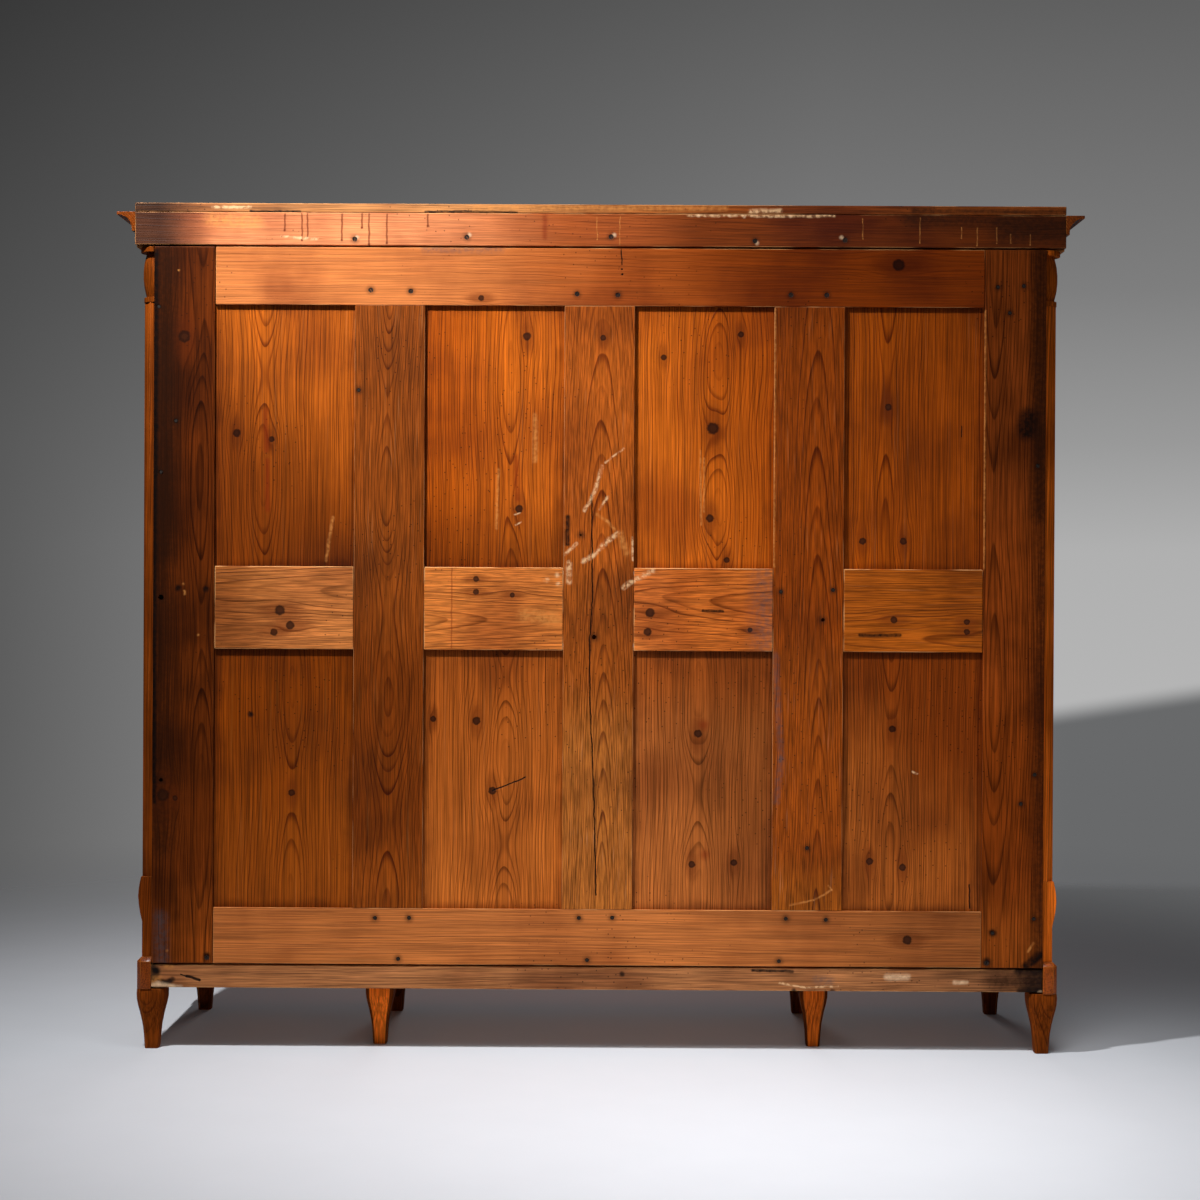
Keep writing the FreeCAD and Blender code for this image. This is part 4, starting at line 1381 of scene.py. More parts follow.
class Back:
    """The frame-and-panel back: stiles, rails, muntins, mid rails and panels."""

    STILES = (
        Board("back_stile_1", STILE,
              Figure(aside=-0.045, depth=0.03, tilt=0.012, sway=0.01, swing=0.8, ring=0.006),
              knots=(Knot(0.997, 1.716, 0.0155), Knot(1.044, 0.614, 0.016), Knot(1.015, 0.607, 0.007)),
              marks=path(AGED_AND_SHADED, 0.085, (1.062, 1.92), (1.058, 0.5))
              + path(AGED_AND_SHADED, 0.05, (1.04, 1.9), (1.045, 1.2))
              + path(SOOT, 0.012, (1.066, 1.92), (1.066, 1.5), (1.068, 1.1), (1.066, 0.6))
              + path(DAMP, 0.03, (1.05, 0.32), (1.045, 0.215))
              + dots(SOOT, 0.014, (1.01, 1.112), (0.943, 1.11), (0.937, 0.229))
              + dots(BARE_AND_HIGHLIGHT, 0.005, (1.011, 1.874), (0.997, 1.121), (0.961, 0.999), (1.033, 0.24))
              + path(BARE_AND_HIGHLIGHT, 0.005, (0.995, 1.104), (0.994, 1.097)),
              fades=(Fade((1.0, 1.0), (1.0, 1.3), (0.82, 0.78, 0.75)),
                     # Paler and bluer towards the bottom: painted light bounced from the floor
                     Fade((1.0, 0.45), (1.0, 0.26), (2.3, 2.5, 2.4))),
              nails=((1.059, 1.787), (1.017, 1.513), (1.052, 1.39)), screws=((0.937, 0.223),),
              pits=(Pit(1.051, 1.089, 0.007, 0.012), Pit(1.049, 0.65, 0.005, 0.01))),
        Board("back_stile_2", STILE,
              Figure(aside=0.045, depth=0.04, tilt=-0.015, sway=0.008, swing=1.1, ring=0.006),
              tone=2.2,
              marks=path(AGED_AND_SHADED, 0.05, (-1.066, 1.92), (-1.066, 0.21))
              + path(AGED_AND_SHADED, 0.035, (-1.05, 1.92), (-1.052, 1.3))
              + path(SOOT, 0.046, (-1.028, 1.53), (-1.024, 1.5))
              # A pale line along the lit inner flank: painted highlight
              + path(BARE_AND_HIGHLIGHT, 0.005, (-0.9235, 1.785), (-0.9235, 1.17))
              + path(SOOT, 0.02, (-1.064, 0.24), (-1.03, 0.215))
              + path(BARE_AND_HIGHLIGHT, 0.005, (-1.048, 0.27), (-1.035, 0.25))
              + dots(SOOT, 0.016, (-0.936, 0.226), (-0.95, 0.295)),
              fades=(Fade((-1.0, 1.15), (-1.0, 1.4), (0.7, 0.72, 0.85)),
                     Fade((-1.0, 0.92), (-1.0, 0.75), (0.76, 0.73, 0.6)),
                     # Paler and bluer towards the bottom: painted light bounced from the floor
                     Fade((-1.0, 0.44), (-1.0, 0.26), (1.35, 1.6, 1.9))),
              nails=((-0.954, 1.843), (-1.016, 1.846), (-0.983, 1.781), (-1.052, 1.415), (-1.016, 0.604),
                     (-1.049, 0.674), (-0.95, 0.293), (-1.049, 0.328)),
              screws=((-0.936, 0.221),)),
    )
    RAILS = (
        Board("back_top_rail", TOP_RAIL, Figure(aside=0.09, depth=0.05, tilt=0.012),
              knots=(Knot(0.285, 1.811, 0.0078), Knot(-0.716, 1.895, 0.0156)),
              marks=path(DAMP, 0.016, (0.42, 1.927), (0.24, 1.927))
              + path(CRACK, 0.0025, (-0.051, 1.929), (-0.052, 1.892))
              + dots(CRACK, 0.005, (-0.052, 1.881), (-0.053, 1.869)),
              # Painted sheen at the camera's left giving way to painted shade of the lamp's falloff towards
              # the right
              fades=(Fade((0.5, 1.86), (-0.1, 1.86), (0.67, 0.46, 0.24)),
                     Fade((0.0, 1.86), (-0.45, 1.86), (0.52, 0.39, 0.09))),
              screws=((0.55, 1.829), (0.454, 1.827), (0.055, 1.822), (-0.043, 1.82), (-0.458, 1.822),
                      (-0.544, 1.822))),
        Board("back_bottom_rail", BOTTOM_RAIL, Figure(aside=-0.1, depth=0.04, tilt=-0.008), tone=1.12,
              knots=(Knot(-0.745, 0.276, 0.0117),),
              # Darker towards the camera's right: painted shade of the lamp's falloff
              fades=(Fade((-0.1, 0.28), (-0.9, 0.28), (0.6, 0.58, 0.53)),),
              nails=((0.533, 0.321), (0.451, 0.322), (0.477, 0.223), (0.043, 0.324), (-0.037, 0.325),
                     (0.023, 0.223), (-0.454, 0.325), (-0.55, 0.323), (-0.438, 0.223))),
    )
    MUNTINS = (
        Board("back_muntin_1", MUNTIN,
              Figure(depth=0.045, tilt=-0.03, sway=0.008, swing=0.5, phase=0.6, ring=0.0045),
              tone=0.76,
              fades=(Fade((0.5, 1.08), (0.5, 0.9), (0.74, 0.66, 0.45)),
                     # Paler and bluer towards the bottom: painted light bounced from the floor
                     Fade((0.5, 0.55), (0.5, 0.36), (1.5, 1.65, 1.9))),
              nails=((0.578, 1.589),)),
        Board("back_muntin_2", MUNTIN, Figure(aside=-0.013, depth=0.05, tilt=0.055, ring=0.0045), tone=1.42,
              knots=(Knot(-0.008, 1.717, 0.0078),),
              fades=(Fade((0.0, 1.22), (0.0, 1.1), (0.72, 0.76, 0.85)),
                     # Paler and bluer lower down: painted light bounced from the floor
                     Fade((0.0, 0.92), (0.0, 0.72), (1.3, 1.7, 2.5))),
              marks=path(CRACK, 0.003, (0.017, 1.34), (0.014, 1.088), (0.021, 0.992), (0.019, 0.848),
                         (0.008, 0.608), (0.002, 0.38))
              + path(SCRAPE, 0.004, (-0.06, 1.452), (-0.015, 1.418))
              + path(SCRAPE, 0.007, (-0.007, 1.408), (0.009, 1.35), (0.035, 1.302))
              + path(SCRAPE, 0.005, (-0.022, 1.338), (-0.003, 1.306))
              + path(BARE_AND_HIGHLIGHT, 0.006, (0.004, 1.293), (-0.02, 1.278), (-0.038, 1.257))
              + path(SCRAPE, 0.009, (0.037, 1.181), (0.015, 1.194), (-0.025, 1.233), (-0.046, 1.249))
              + path(BARE_AND_HIGHLIGHT, 0.014, (-0.051, 1.247), (-0.067, 1.202))
              + path(SCRAPE, 0.005, (-0.08, 1.237), (-0.083, 1.185))
              + path(SCRAPE, 0.006, (0.08, 1.197), (0.053, 1.223))
              + path(SOOT, 0.011, (0.075, 1.287), (0.075, 1.222))
              + path(SCRAPE, 0.01, (0.071, 1.176), (0.071, 1.132))
              + path(SCRAPE, 0.009, (-0.06, 1.119), (-0.085, 1.136)),
              pits=(Pit(0.01, 0.999, 0.006, 0.009), Pit(0.043, 1.244, 0.003, 0.004))),
        Board("back_muntin_3", RED_MUNTIN, Figure(aside=-0.026, depth=0.05, tilt=0.04, ring=0.0045),
              tone=0.8,
              # Paler and bluer lower down: painted light bounced from the floor
              fades=(Fade((-0.5, 1.05), (-0.5, 0.9), (1.2, 1.35, 1.9)),
                     Fade((-0.5, 0.5), (-0.5, 0.36), (1.3, 1.6, 1.8))),
              marks=path(DAMP, 0.014, (-0.425, 0.957), (-0.44, 0.707), (-0.43, 0.607))
              # A pale line along the lit inner flank: painted highlight
              + path(BARE_AND_HIGHLIGHT, 0.005, (-0.42, 1.785), (-0.42, 1.17))
              + path(BARE_AND_HIGHLIGHT, 0.004, (-0.464, 0.358), (-0.52, 0.37), (-0.564, 0.395), (-0.556, 0.405)),
              nails=((-0.438, 1.11), (-0.563, 1.115), (-0.504, 0.495)),
              pits=(Pit(-0.539, 1.043, 0.005, 0.008),)),
    )
    MID_RAILS = (
        Board("back_mid_rail_1", PALE_MID_RAIL, Figure(aside=0.04, depth=0.06, tilt=0.04), tone=1.2,
              knots=(Knot(0.765, 1.06, 0.013), Knot(0.779, 1.007, 0.0095), Knot(0.74, 1.024, 0.011)),
              fades=(Fade((0.72, 1.06), (0.9, 1.06), (0.52, 0.46, 0.38)),)),
        Board("back_mid_rail_2", MID_RAIL, Figure(aside=-0.03, depth=0.05, tilt=-0.05), tone=1.22,
              knots=(Knot(0.294, 1.137, 0.0078), Knot(0.294, 1.106, 0.0078), Knot(0.207, 1.099, 0.0065)),
              marks=path(BARE_AND_HIGHLIGHT, 0.03, (0.175, 1.051), (0.105, 1.041))
              + path(RED, 0.003, (0.352, 1.163), (0.352, 0.971))
              + dots(SCRAPE, 0.01, (0.1, 1.147), (0.125, 1.135), (0.095, 1.125))),
        Board("back_mid_rail_3", MID_RAIL, Figure(aside=0.02, depth=0.07, tilt=0.05), tone=1.68,
              fades=(Fade((-0.1, 1.06), (-0.22, 1.06), (0.64, 0.54, 0.4)),),
              knots=(Knot(-0.124, 1.058, 0.0117), Knot(-0.119, 1.012, 0.0104), Knot(-0.364, 1.018, 0.0065)),
              marks=path(SCRAPE, 0.01, (-0.086, 1.136), (-0.13, 1.159))
              + path(SOOT, 0.006, (-0.251, 1.063), (-0.299, 1.063))
              + path(DAMP, 0.06, (-0.4, 1.147), (-0.4, 0.987))),
        Board("back_mid_rail_4", RED_MID_RAIL, Figure(aside=-0.06, depth=0.05, tilt=0.03), tone=0.82,
              knots=(Knot(-0.709, 1.044, 0.0091), Knot(-0.884, 1.04, 0.0078), Knot(-0.884, 1.016, 0.0078)),
              marks=path(SOOT, 0.008, (-0.628, 1.007), (-0.724, 1.007))),
    )
    PANELS = (
        Board("back_upper_panel_1", PANEL, panel_cut(aside=0.045, sway=0.012, swing=0.5),
              tone=0.93,
              knots=(Knot(0.872, 1.485, 0.0104), Knot(0.788, 1.471, 0.0078)),
              marks=path(RED, 0.012, (0.803, 1.54), (0.8, 1.444))
              + path(RED, 0.01, (0.798, 1.42), (0.797, 1.3))
              + path(BARE_AND_HIGHLIGHT, 0.006, (0.64, 1.283), (0.656, 1.18)),
              fades=(Fade((0.64, 1.7), (0.92, 1.42), (0.4, 0.35, 0.3)),)),
        Board("back_upper_panel_2", PANEL, panel_cut(aside=-0.045, sway=0.01, swing=0.6),
              tone=1.2,
              knots=(Knot(0.175, 1.721, 0.0104), Knot(0.192, 1.306, 0.0104)),
              marks=path(RED, 0.012, (0.2, 1.43), (0.196, 1.33))
              + path(BARE_AND_HIGHLIGHT, 0.01, (0.154, 1.531), (0.154, 1.423))
              + path(BARE_AND_HIGHLIGHT, 0.006, (0.243, 1.4), (0.246, 1.26))
              + path(SCRAPE, 0.003, (0.203, 1.293), (0.189, 1.297))
              + path(SCRAPE, 0.003, (0.2, 1.268), (0.187, 1.275)),
              fades=(Fade((0.13, 1.5), (0.41, 1.5), (0.64, 0.54, 0.28)),
                     Fade((0.25, 1.36), (0.25, 1.18), (0.52, 0.5, 0.48)))),
        Board("back_upper_panel_3", PANEL, panel_cut(aside=-0.038, sway=0.012, swing=0.35),
              tone=1.22,
              knots=(Knot(-0.339, 1.728, 0.0078), Knot(-0.154, 1.672, 0.0078), Knot(-0.273, 1.502, 0.0156),
                     Knot(-0.267, 1.286, 0.0104), Knot(-0.308, 1.186, 0.0078)),
              marks=path(BARE_AND_HIGHLIGHT, 0.004, (-0.243, 1.449), (-0.246, 1.27))
              + path(BARE_AND_HIGHLIGHT, 0.004, (-0.251, 1.43), (-0.253, 1.3)),
              fades=(Fade((-0.14, 1.35), (-0.44, 1.42), (0.66, 0.56, 0.36)),)),
        Board("back_upper_panel_4", RED_PANEL, panel_cut(aside=0.06, sway=0.008, swing=0.7, ring=0.006),
              tone=0.64,
              knots=(Knot(-0.694, 1.555, 0.0091), Knot(-0.634, 1.233, 0.0091), Knot(-0.732, 1.233, 0.0091)),
              marks=path(CRACK, 0.002, (-0.87, 1.51), (-0.87, 1.485))),
        Board("back_lower_panel_1", PANEL, panel_cut(aside=-0.02, sway=0.01, swing=0.5),
              tone=0.6,
              knots=(Knot(0.736, 0.621, 0.0091),), marks=dots(SOOT, 0.014, (0.836, 0.808)),
              fades=(Fade((0.62, 0.4), (0.88, 0.85), (0.72, 0.62, 0.25)),)),
        Board("back_lower_panel_2", LOW_PANEL, panel_cut(aside=-0.03, sway=0.012, swing=0.4),
              tone=1.33,
              knots=(Knot(0.292, 0.796, 0.0104), Knot(0.396, 0.8, 0.0078), Knot(0.253, 0.628, 0.0104)),
              marks=path(CRACK, 0.003, (0.253, 0.628), (0.174, 0.66)),
              fades=(Fade((0.2, 0.4), (0.38, 0.9), (0.7, 0.62, 0.52)),)),
        Board("back_lower_panel_3", DUSTY_PANEL, panel_cut(aside=0.01, sway=0.012, swing=0.5),
              tone=1.28,
              knots=(Knot(-0.241, 0.768, 0.0104), Knot(-0.228, 0.453, 0.0091), Knot(-0.329, 0.458, 0.0091)),
              marks=dots(RED, 0.02, (-0.255, 0.789), (-0.259, 0.477)),
              fades=(Fade((-0.12, 0.6), (-0.39, 0.65), (0.58, 0.54, 0.5)),
                     Fade((-0.25, 0.74), (-0.25, 0.92), (0.85, 0.7, 0.5)))),
        Board("back_lower_panel_4", LOW_PANEL, panel_cut(aside=0.05, sway=0.01, swing=0.6, ring=0.006),
              tone=1.12,
              knots=(Knot(-0.708, 0.782, 0.0091), Knot(-0.655, 0.463, 0.0091), Knot(-0.734, 0.449, 0.0091)),
              marks=path(SCRAPE, 0.004, (-0.758, 0.679), (-0.768, 0.675))
              + path(CRACK, 0.003, (-0.895, 0.409), (-0.896, 0.352)),
              fades=(Fade((-0.62, 0.46), (-0.9, 0.74), (0.46, 0.32, 0.14)),)),
    )

    def build(self, fasteners: Fasteners) -> None:
        """Builds every row of boards.

        Args:
            fasteners: What sets the boards' nails and screws.
        """
        BoardRow("back_stiles", Z, self.STILES, ease=0.002, seam=0.0015).build(fasteners)
        BoardRow("back_rails", X, self.RAILS, ease=0.0024).build(fasteners)
        BoardRow("back_muntins", Z, self.MUNTINS, ease=0.002, seam=0.0008).build(fasteners)
        BoardRow("back_mid_rails", X, self.MID_RAILS, ease=0.0028).build(fasteners)
        # The panels' rims are darkened as painted shade in the frame's recess, and as dirt
        BoardRow("back_panels", Z, self.PANELS, ease=0.001, seam=0.0, has_shaded_dirty_rim=True).build(fasteners)


class Cornice:
    """The cornice: its rear board and dust board, its frieze and its mouldings."""

    REAR_BOARD = Board(
        "cornice_rear", CORNICE_BOARD, Figure(aside=0.08, depth=0.05, tilt=0.02),
        marks=runs(RUN, 0.004, 2.011, (0.757, 1.972), (0.716, 1.948), (0.702, 1.953), (0.62, 1.949),
                   (0.572, 1.978), (0.555, 1.939), (0.512, 1.942), (0.414, 1.983))
        + path(BARE_AND_HIGHLIGHT, 0.034, (0.93, 1.997), (0.83, 1.991))
        + path(SCRAPE, 0.005, (0.765, 1.957), (0.72, 1.953), (0.678, 1.951))
        + path(RED, 0.012, (0.133, 2.006), (0.133, 1.958))
        # These two darken the right end: painted shade, with aged wood
        + path(AGED_AND_SHADED, 0.04, (-0.74, 2.007), (-1.11, 1.997))
        + path(AGED_AND_SHADED, 0.06, (-0.97, 1.972), (-1.11, 1.967))
        + runs(BARE_AND_HIGHLIGHT, 0.002, 2.007, (0.008, 1.952), (-0.047, 1.941), (-0.629, 1.957), (-0.766, 1.947))
        + runs(BARE_AND_HIGHLIGHT, 0.0022, 1.985, (-0.866, 1.96), (-0.903, 1.942), (-0.95, 1.947))
        + runs(BARE_AND_HIGHLIGHT, 0.0022, 1.969, (-0.984, 1.948), (-1.03, 1.944))
        + path(SCRAPE, 0.006, (-0.21, 2.012), (-0.26, 2.011), (-0.34, 2.012), (-0.42, 2.01),
               (-0.56, 2.012))
        + dots(FILLER, 0.006, (-0.235, 2.01), (-0.31, 2.011), (-0.345, 2.008), (-0.455, 2.01))
        + dots(FILLER, 0.008, (0.583, 1.956), (0.313, 1.963), (-0.033, 1.964), (-0.376, 1.945),
               (-0.578, 1.96)),
        # The first three fades darken the board towards the camera's right: painted shade of the lamp's
        # falloff after the painted sheen at the left
        fades=(Fade((0.5, 1.97), (0.05, 1.97), (0.52, 0.33, 0.16)),
               Fade((-0.05, 1.97), (-0.25, 1.97), (0.5, 0.43, 0.27)),
               Fade((-0.4, 1.97), (-0.95, 1.97), (0.74, 0.72, 0.6)),
               Fade((0.92, 1.97), (1.05, 1.97), (0.1, 0.09, 0.09))),
        screws=((0.589, 1.951), (0.32, 1.957), (-0.026, 1.959), (-0.371, 1.951), (-0.587, 1.954)))
    DUST_BOARD = Board(
        "dust_board_aged_and_shaded", DUST_BOARD_WITH_SHEEN, Figure(aside=0.12, depth=0.04, tilt=0.02),
        marks=path(SCRAPE, 0.01, (-0.36, 2.021), (-0.43, 2.023))
        + path(SOOT, 0.005, (0.84, 2.017), (0.72, 2.017))
        + path(SOOT, 0.005, (0.42, 2.018), (0.31, 2.019), (0.2, 2.017))
        + path(SCRAPE, 0.006, (0.93, 2.026), (0.84, 2.027))
        + path(BARE_AND_HIGHLIGHT, 0.012, (0.3, 2.027), (-0.3, 2.029))
        # Dark at the right end: painted shade, with aged wood
        + path(AGED_AND_SHADED, 0.014, (-0.75, 2.025), (-1.12, 2.023)),
        # The first fade darkens the board towards the camera's right: painted shade of the lamp's falloff
        # after the painted sheen at the left
        fades=(Fade((0.45, 2.02), (-0.3, 2.02), (0.54, 0.3, 0.13)),
               Fade((0.93, 2.02), (1.06, 2.02), (0.12, 0.1, 0.1))))
    TRIM = ("cornice_frieze", "cornice_mouldings")

    def build(self, fasteners: Fasteners, pine: bpy.types.Material, polish: bpy.types.Material) -> None:
        """Builds the two boards that show their age, then the rest.

        Args:
            fasteners: What sets the boards' nails and screws.
            pine: The finish of the inner wood.
            polish: The finish of the polished wood.
        """
        BoardRow("cornice_rear_board", X, (self.REAR_BOARD,)).build(fasteners)
        BoardRow("dust_board", X, (self.DUST_BOARD,)).build(fasteners)
        WoodGroup(("cornice_base",), "carcass", Slot.PINE, ease=0.001).build(pine)
        WoodGroup(self.TRIM, "carcass", Slot.POLISHED, ease=0.0006, tint=-2.0).build(polish)


class Plinth:
    """The plinth: its rear rail, the other rails and bearers, the corner blocks and the feet."""

    REAR_RAIL = Board(
        "plinth_rear", PLINTH_RAIL, Figure(aside=-0.07, depth=0.05, tilt=0.02), tone=1.07,
        # Darker towards the camera's right: painted shade of the lamp's falloff
        fades=(Fade((-0.55, 0.18), (-1.0, 0.18), (0.56, 0.57, 0.6)),),
        marks=path(SOOT, 0.02, (1.072, 0.206), (1.06, 0.19), (1.066, 0.17))
        + path(SOOT, 0.012, (1.066, 0.17), (1.035, 0.162), (1.02, 0.17))
        + path(BARE_AND_HIGHLIGHT, 0.016, (1.066, 0.167), (1.056, 0.172))
        + path(FILLER, 0.01, (1.072, 0.154), (1.054, 0.159), (1.02, 0.153), (1.001, 0.15))
        + path(BARE_AND_HIGHLIGHT, 0.012, (1.036, 0.203), (1.022, 0.201))
        + path(CRACK, 0.003, (1.0, 0.182), (0.985, 0.178))
        + path(CRACK, 0.007, (0.985, 0.178), (0.955, 0.169))
        + path(SOOT, 0.008, (-0.376, 0.2), (-0.47, 0.198))
        + dots(SOOT, 0.012, (-0.061, 0.19), (-0.475, 0.151), (-0.568, 0.151))
        + path(DAMP, 0.02, (-0.53, 0.178), (-0.56, 0.175))
        + path(SCRAPE, 0.004, (-0.44, 0.17), (-0.5, 0.16), (-0.58, 0.163))
        + path(FILLER, 0.014, (-0.699, 0.186), (-0.745, 0.186))
        + path(FILLER, 0.008, (-0.86, 0.174), (-0.889, 0.174))
        + path(SOOT, 0.06, (-1.068, 0.18), (-1.05, 0.172))
        + path(SOOT, 0.02, (-1.068, 0.205), (-1.014, 0.201))
        + path(SOOT, 0.02, (-1.068, 0.155), (-1.02, 0.152))
        # Dark at the right end: painted shade, with aged wood
        + path(AGED_AND_SHADED, 0.05, (-1.04, 0.178), (-0.96, 0.176))
        + dots(FILLER, 0.01, (-1.066, 0.15)))
    RAILS = ("plinth_rails", "plinth_blocks")
    FEET = ("feet_rear", "feet_front")

    def build(self, fasteners: Fasteners, pine: bpy.types.Material, polish: bpy.types.Material,
              rubbed: bpy.types.Material) -> None:
        """Builds the rear rail, then the rest.

        Args:
            fasteners: What sets the boards' nails and screws.
            pine: The finish of the inner wood.
            polish: The finish of the polished wood.
            rubbed: The finish of polished wood that is rubbed dull.
        """
        BoardRow("plinth_rear_rail", X, (self.REAR_RAIL,), ease=0.0025, seam=0.004).build(fasteners)
        WoodGroup(("plinth_bearers",), "carcass", Slot.PINE, ease=0.001).build(pine)
        WoodGroup(self.RAILS, "carcass", Slot.POLISHED, ease=0.0012).build(polish)
        Feet(self.FEET, "carcass", Slot.POLISHED, ease=0.0015).build(rubbed)


class Carcass:
    """The sides, the posts and columns, and the inside with its shelves."""

    SIDES = ("side_posts", "side_rails", "side_panels", "front_posts")
    COLUMNS = ("column_shafts", "column_capitals", "column_consoles")
    INSIDE = ("floor_board", "ceiling_board", "partitions", "shelves", "shelf_bearers", "door_stops")
    METAL = ("hinge_pins", "post_leaves", "strike_plates")

    def build(self, pine: bpy.types.Material, polish: bpy.types.Material, rubbed: bpy.types.Material,
              brass: bpy.types.Material) -> None:
        """Builds the groups in order.

        Args:
            pine: The finish of the inner wood.
            polish: The finish of the polished wood.
            rubbed: The finish of polished wood that is rubbed dull.
            brass: The finish of the brass fittings.
        """
        WoodGroup(self.SIDES, "carcass", Slot.POLISHED, ease=0.001).build(polish)
        Columns(self.COLUMNS, "carcass", Slot.POLISHED, ease=0.0008).build(rubbed)
        WoodGroup(self.INSIDE, "carcass", Slot.PINE, ease=0.0008).build(pine)
        for node in self.METAL:
            dress(node, brass)


@dataclass
class Door:
    """A glazed door with its leaves, and its lock and key where it has them."""

    name: str
    locked: bool

    def build(self, polish: bpy.types.Material, glass: bpy.types.Material, brass: bpy.types.Material,
              iron: bpy.types.Material) -> None:
        """Builds the woodwork and finishes the rest.

        Args:
            polish: The finish of the polished wood.
            glass: The finish of the glass.
            brass: The finish of the brass fittings.
            iron: The finish of the key.
        """
        woodwork = ("door_frame_" + self.name, "door_panel_" + self.name)
        WoodGroup(woodwork, "door_" + self.name, Slot.POLISHED, ease=0.0008).build(polish)
        dress("door_glass_" + self.name, glass)
        dress("door_leaves_" + self.name, brass)
        if self.locked:
            dress("lock_" + self.name, brass)
            dress("lock_bolt_" + self.name, brass)
            dress("key_" + self.name, iron)


class SlideBolts:
    """The two bolts of the door without a lock, and their guides."""

    NODES = ("bolt_guides", "slide_bolt_top", "slide_bolt_bottom")

    def build(self, iron: bpy.types.Material) -> None:
        """Finishes the bolts and guides."""
        for node in self.NODES:
            dress(node, iron)


@dataclass(frozen=True)
class Lamp:
    """A soft square lamp: its place, what it faces, its width and strength, and whether gloss shows it."""

    name: str
    place: Triple
    aim: Triple
    width: float
    watts: float
    spread: float = 180.0
    mirrored: bool = True

    def build(self) -> None:
        """Adds the lamp."""
        light = bpy.data.lights.new(self.name, "AREA")
        light.size = self.width
        light.energy = self.watts
        light.spread = math.radians(self.spread)
        lamp = bpy.data.objects.new(self.name, light)
        lamp.visible_glossy = self.mirrored
        away = Vector(self.place) - Vector(self.aim)
        turn = away.to_track_quat("Z", "Y").to_matrix().to_4x4()
        lamp.matrix_world = Matrix.Translation(self.place) @ turn
        bpy.context.scene.collection.objects.link(lamp)


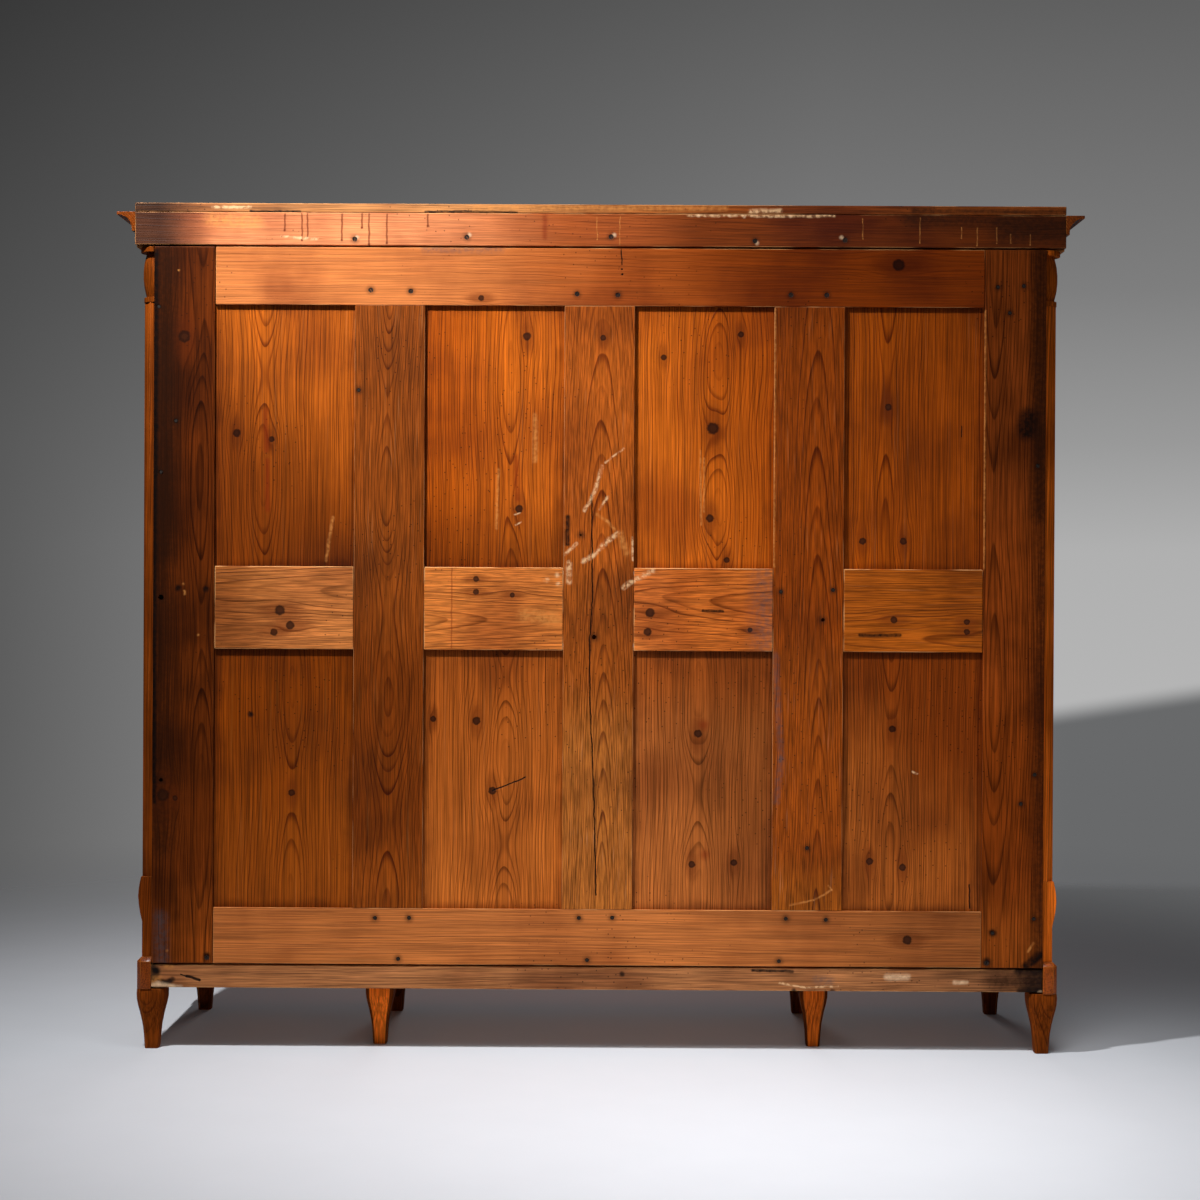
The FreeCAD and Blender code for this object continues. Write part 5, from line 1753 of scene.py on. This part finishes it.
@dataclass
class Studio:
    """The pale floor, the grey surroundings, the lamps and the camera at the photograph's angle."""

    floor_radius: float = 4.6
    floor_fade: float = 1.0
    floor_sides: int = 96
    floor_colour: Colour = shown(210, 213, 219)
    ambient: Colour = shown(64, 64, 66)
    dark: Colour = shown(70, 69, 67)
    shadow: Colour = shown(104, 105, 106)

    # The surroundings' greys by the height of a line of sight, lighter on the camera's right as painted
    # light on the backdrop, and where the two sides' greys meet
    heights: tuple[float, ...] = (-0.3, -0.06, 0.02, 0.07, 0.14, 0.21, 0.3)
    left_greys: tuple[int, ...] = (104, 94, 92, 88, 77, 65, 47)
    right_greys: tuple[int, ...] = (182, 182, 176, 153, 126, 110, 86)
    sides_meet: Place = (-0.1, 0.28)

    # The edge of the shadow: a place on it as aside and up, its slope and its blur
    shadow_edge: Place = (-0.22, -0.055)
    shadow_slope: float = -0.18
    shadow_blur: float = 0.006

    # The camera's place, its yaw, pitch and roll, and its lens
    camera_place: Triple = (-0.02535, 5.2945, 1.10967)
    camera_turn: Triple = (-0.0043, 0.0043, -0.0052)
    camera_lens: float = 62.5

    # The lamps, with the place of each and what it faces
    lamps: tuple[Lamp, ...] = (
        Lamp("key_lamp", (1.28, 1.54, 3.6), (0.3, 0.29, 1.2), width=0.14, watts=52.0, spread=110.0),
        Lamp("rear_fill", (-1.5, 5.0, 2.5), (0.0, 0.3, 1.0), width=4.0, watts=8.0),
        Lamp("floor_lamp", (-0.6, 1.5, 2.7), (-0.6, 1.3, 0.0), width=1.0, watts=12.5, spread=80.0),
        Lamp("front_fill", (0.0, -4.6, 0.75), (0.0, -0.2, 1.1), width=1.4, watts=24.0, spread=60.0,
             mirrored=False),
    )

    def build(self) -> None:
        """Builds everything that stands round the cabinet."""
        self.build_floor()
        self.build_world()
        for lamp in self.lamps:
            lamp.build()
        self.build_camera()
        bpy.context.scene.view_settings.view_transform = "Standard"

    def build_floor(self) -> None:
        """Adds a round floor that fades out towards its rim."""
        mesh = bmesh.new()
        bmesh.ops.create_circle(mesh, cap_ends=True, segments=self.floor_sides,
                                radius=self.floor_radius)
        data = bpy.data.meshes.new("floor")
        mesh.to_mesh(data)
        mesh.free()
        surface = Surface("pale_floor")
        place = surface.object_place()
        far = surface.vector("LENGTH", place, output=1)
        grain = surface.noise(place, 6.0, 3.0)
        tone = surface.mix(grain * 0.05, self.floor_colour, self.dark)
        data.materials.append(surface.finish({
            "Base Color": tone,
            "Roughness": 0.7,
            "Alpha": 1.0 - surface.smooth(far, self.floor_fade, self.floor_radius),
        }))
        floor = bpy.data.objects.new("floor", data)
        bpy.context.scene.collection.objects.link(floor)

    def build_world(self) -> None:
        """Sets grey surroundings with the cabinet's shadow, seen by the camera and through glass."""
        world = bpy.data.worlds.new("surroundings")
        world.use_nodes = True
        bpy.context.scene.world = world
        graph = Graph(world.node_tree)
        way = graph.node("TexCoord", {}, {}, "Generated")
        aside, _, up = graph.split(way)
        sides = [self.shades(graph, up, greys) for greys in (self.right_greys, self.left_greys)]
        right, left = self.sides_meet
        share = graph.node("MapRange", {}, {"Value": aside, "From Min": right, "From Max": left})
        shade = graph.mix(share, *sides)
        above = up - self.shadow_edge[1] - (aside - self.shadow_edge[0]) * self.shadow_slope
        below = 1.0 - graph.smooth(above, -self.shadow_blur, self.shadow_blur)
        beside = 1.0 - graph.smooth(aside, self.shadow_edge[0], 0.0)
        shade = graph.mix(below * beside, shade, self.shadow)
        ray = graph.node("LightPath", {}, {}, "Is Camera Ray")
        seen = ray.math("MAXIMUM", Wire(graph, ray.socket.node.outputs["Is Transmission Ray"]))
        background = world.node_tree.nodes["Background"]
        graph.feed(background.inputs["Color"], graph.mix(seen, self.ambient, shade))

    def shades(self, graph: Graph, up: Wire, greys: tuple[int, ...]) -> Wire:
        """The surroundings' shade by height, from a grey for each height.

        Args:
            graph: The surroundings' node tree.
            up: How far up a line of sight goes.
            greys: The greys, from the lowest height up.

        Returns:
            The shade.
        """
        low, high = self.heights[0], self.heights[-1]
        places = [(height - low) / (high - low) for height in self.heights]
        stops = [(place, shown(grey, grey, grey)) for place, grey in zip(places, greys)]
        return graph.node("ValToRGB", {"stops": stops}, {0: (up - low) / (high - low)})

    def build_camera(self) -> None:
        """Adds the camera, which looks at the back with the turns read from the photograph."""
        yaw, pitch, roll = self.camera_turn
        level = Matrix(((-1, 0, 0), (0, 0, 1), (0, 1, 0)))
        turn = Matrix.Rotation(roll, 3, "Z") @ Matrix.Rotation(pitch, 3, "X")
        turn = turn @ Matrix.Rotation(yaw, 3, "Y") @ level
        view = bpy.data.cameras.new("camera")
        view.lens = self.camera_lens
        camera = bpy.data.objects.new("camera", view)
        camera.matrix_world = Matrix.Translation(self.camera_place) @ turn.transposed().to_4x4()
        bpy.context.scene.collection.objects.link(camera)
        bpy.context.scene.camera = camera


def main() -> None:
    """Builds the cabinet and the studio."""
    logging.basicConfig(level=logging.INFO, format="%(message)s")
    pine = Timber("inner_pine", INSIDE).paint()
    polish = Timber("polish", POLISHED).paint()
    rubbed = Timber("rubbed_polish", RUBBED).paint()
    glass = GLASS.material("old_glass")
    brass = BRASS.material("dull_brass")
    iron = IRON.material("dark_iron")
    fasteners = Fasteners()
    Back().build(fasteners)
    Cornice().build(fasteners, pine, polish)
    Plinth().build(fasteners, pine, polish, rubbed)
    fasteners.build(iron)
    Carcass().build(pine, polish, rubbed, brass)
    for name, locked in (("left", True), ("centre_left", False), ("centre_right", True), ("right", True)):
        Door(name, locked).build(polish, glass, brass, iron)
    SlideBolts().build(iron)
    Studio().build()


if __name__ == "__main__":
    main()
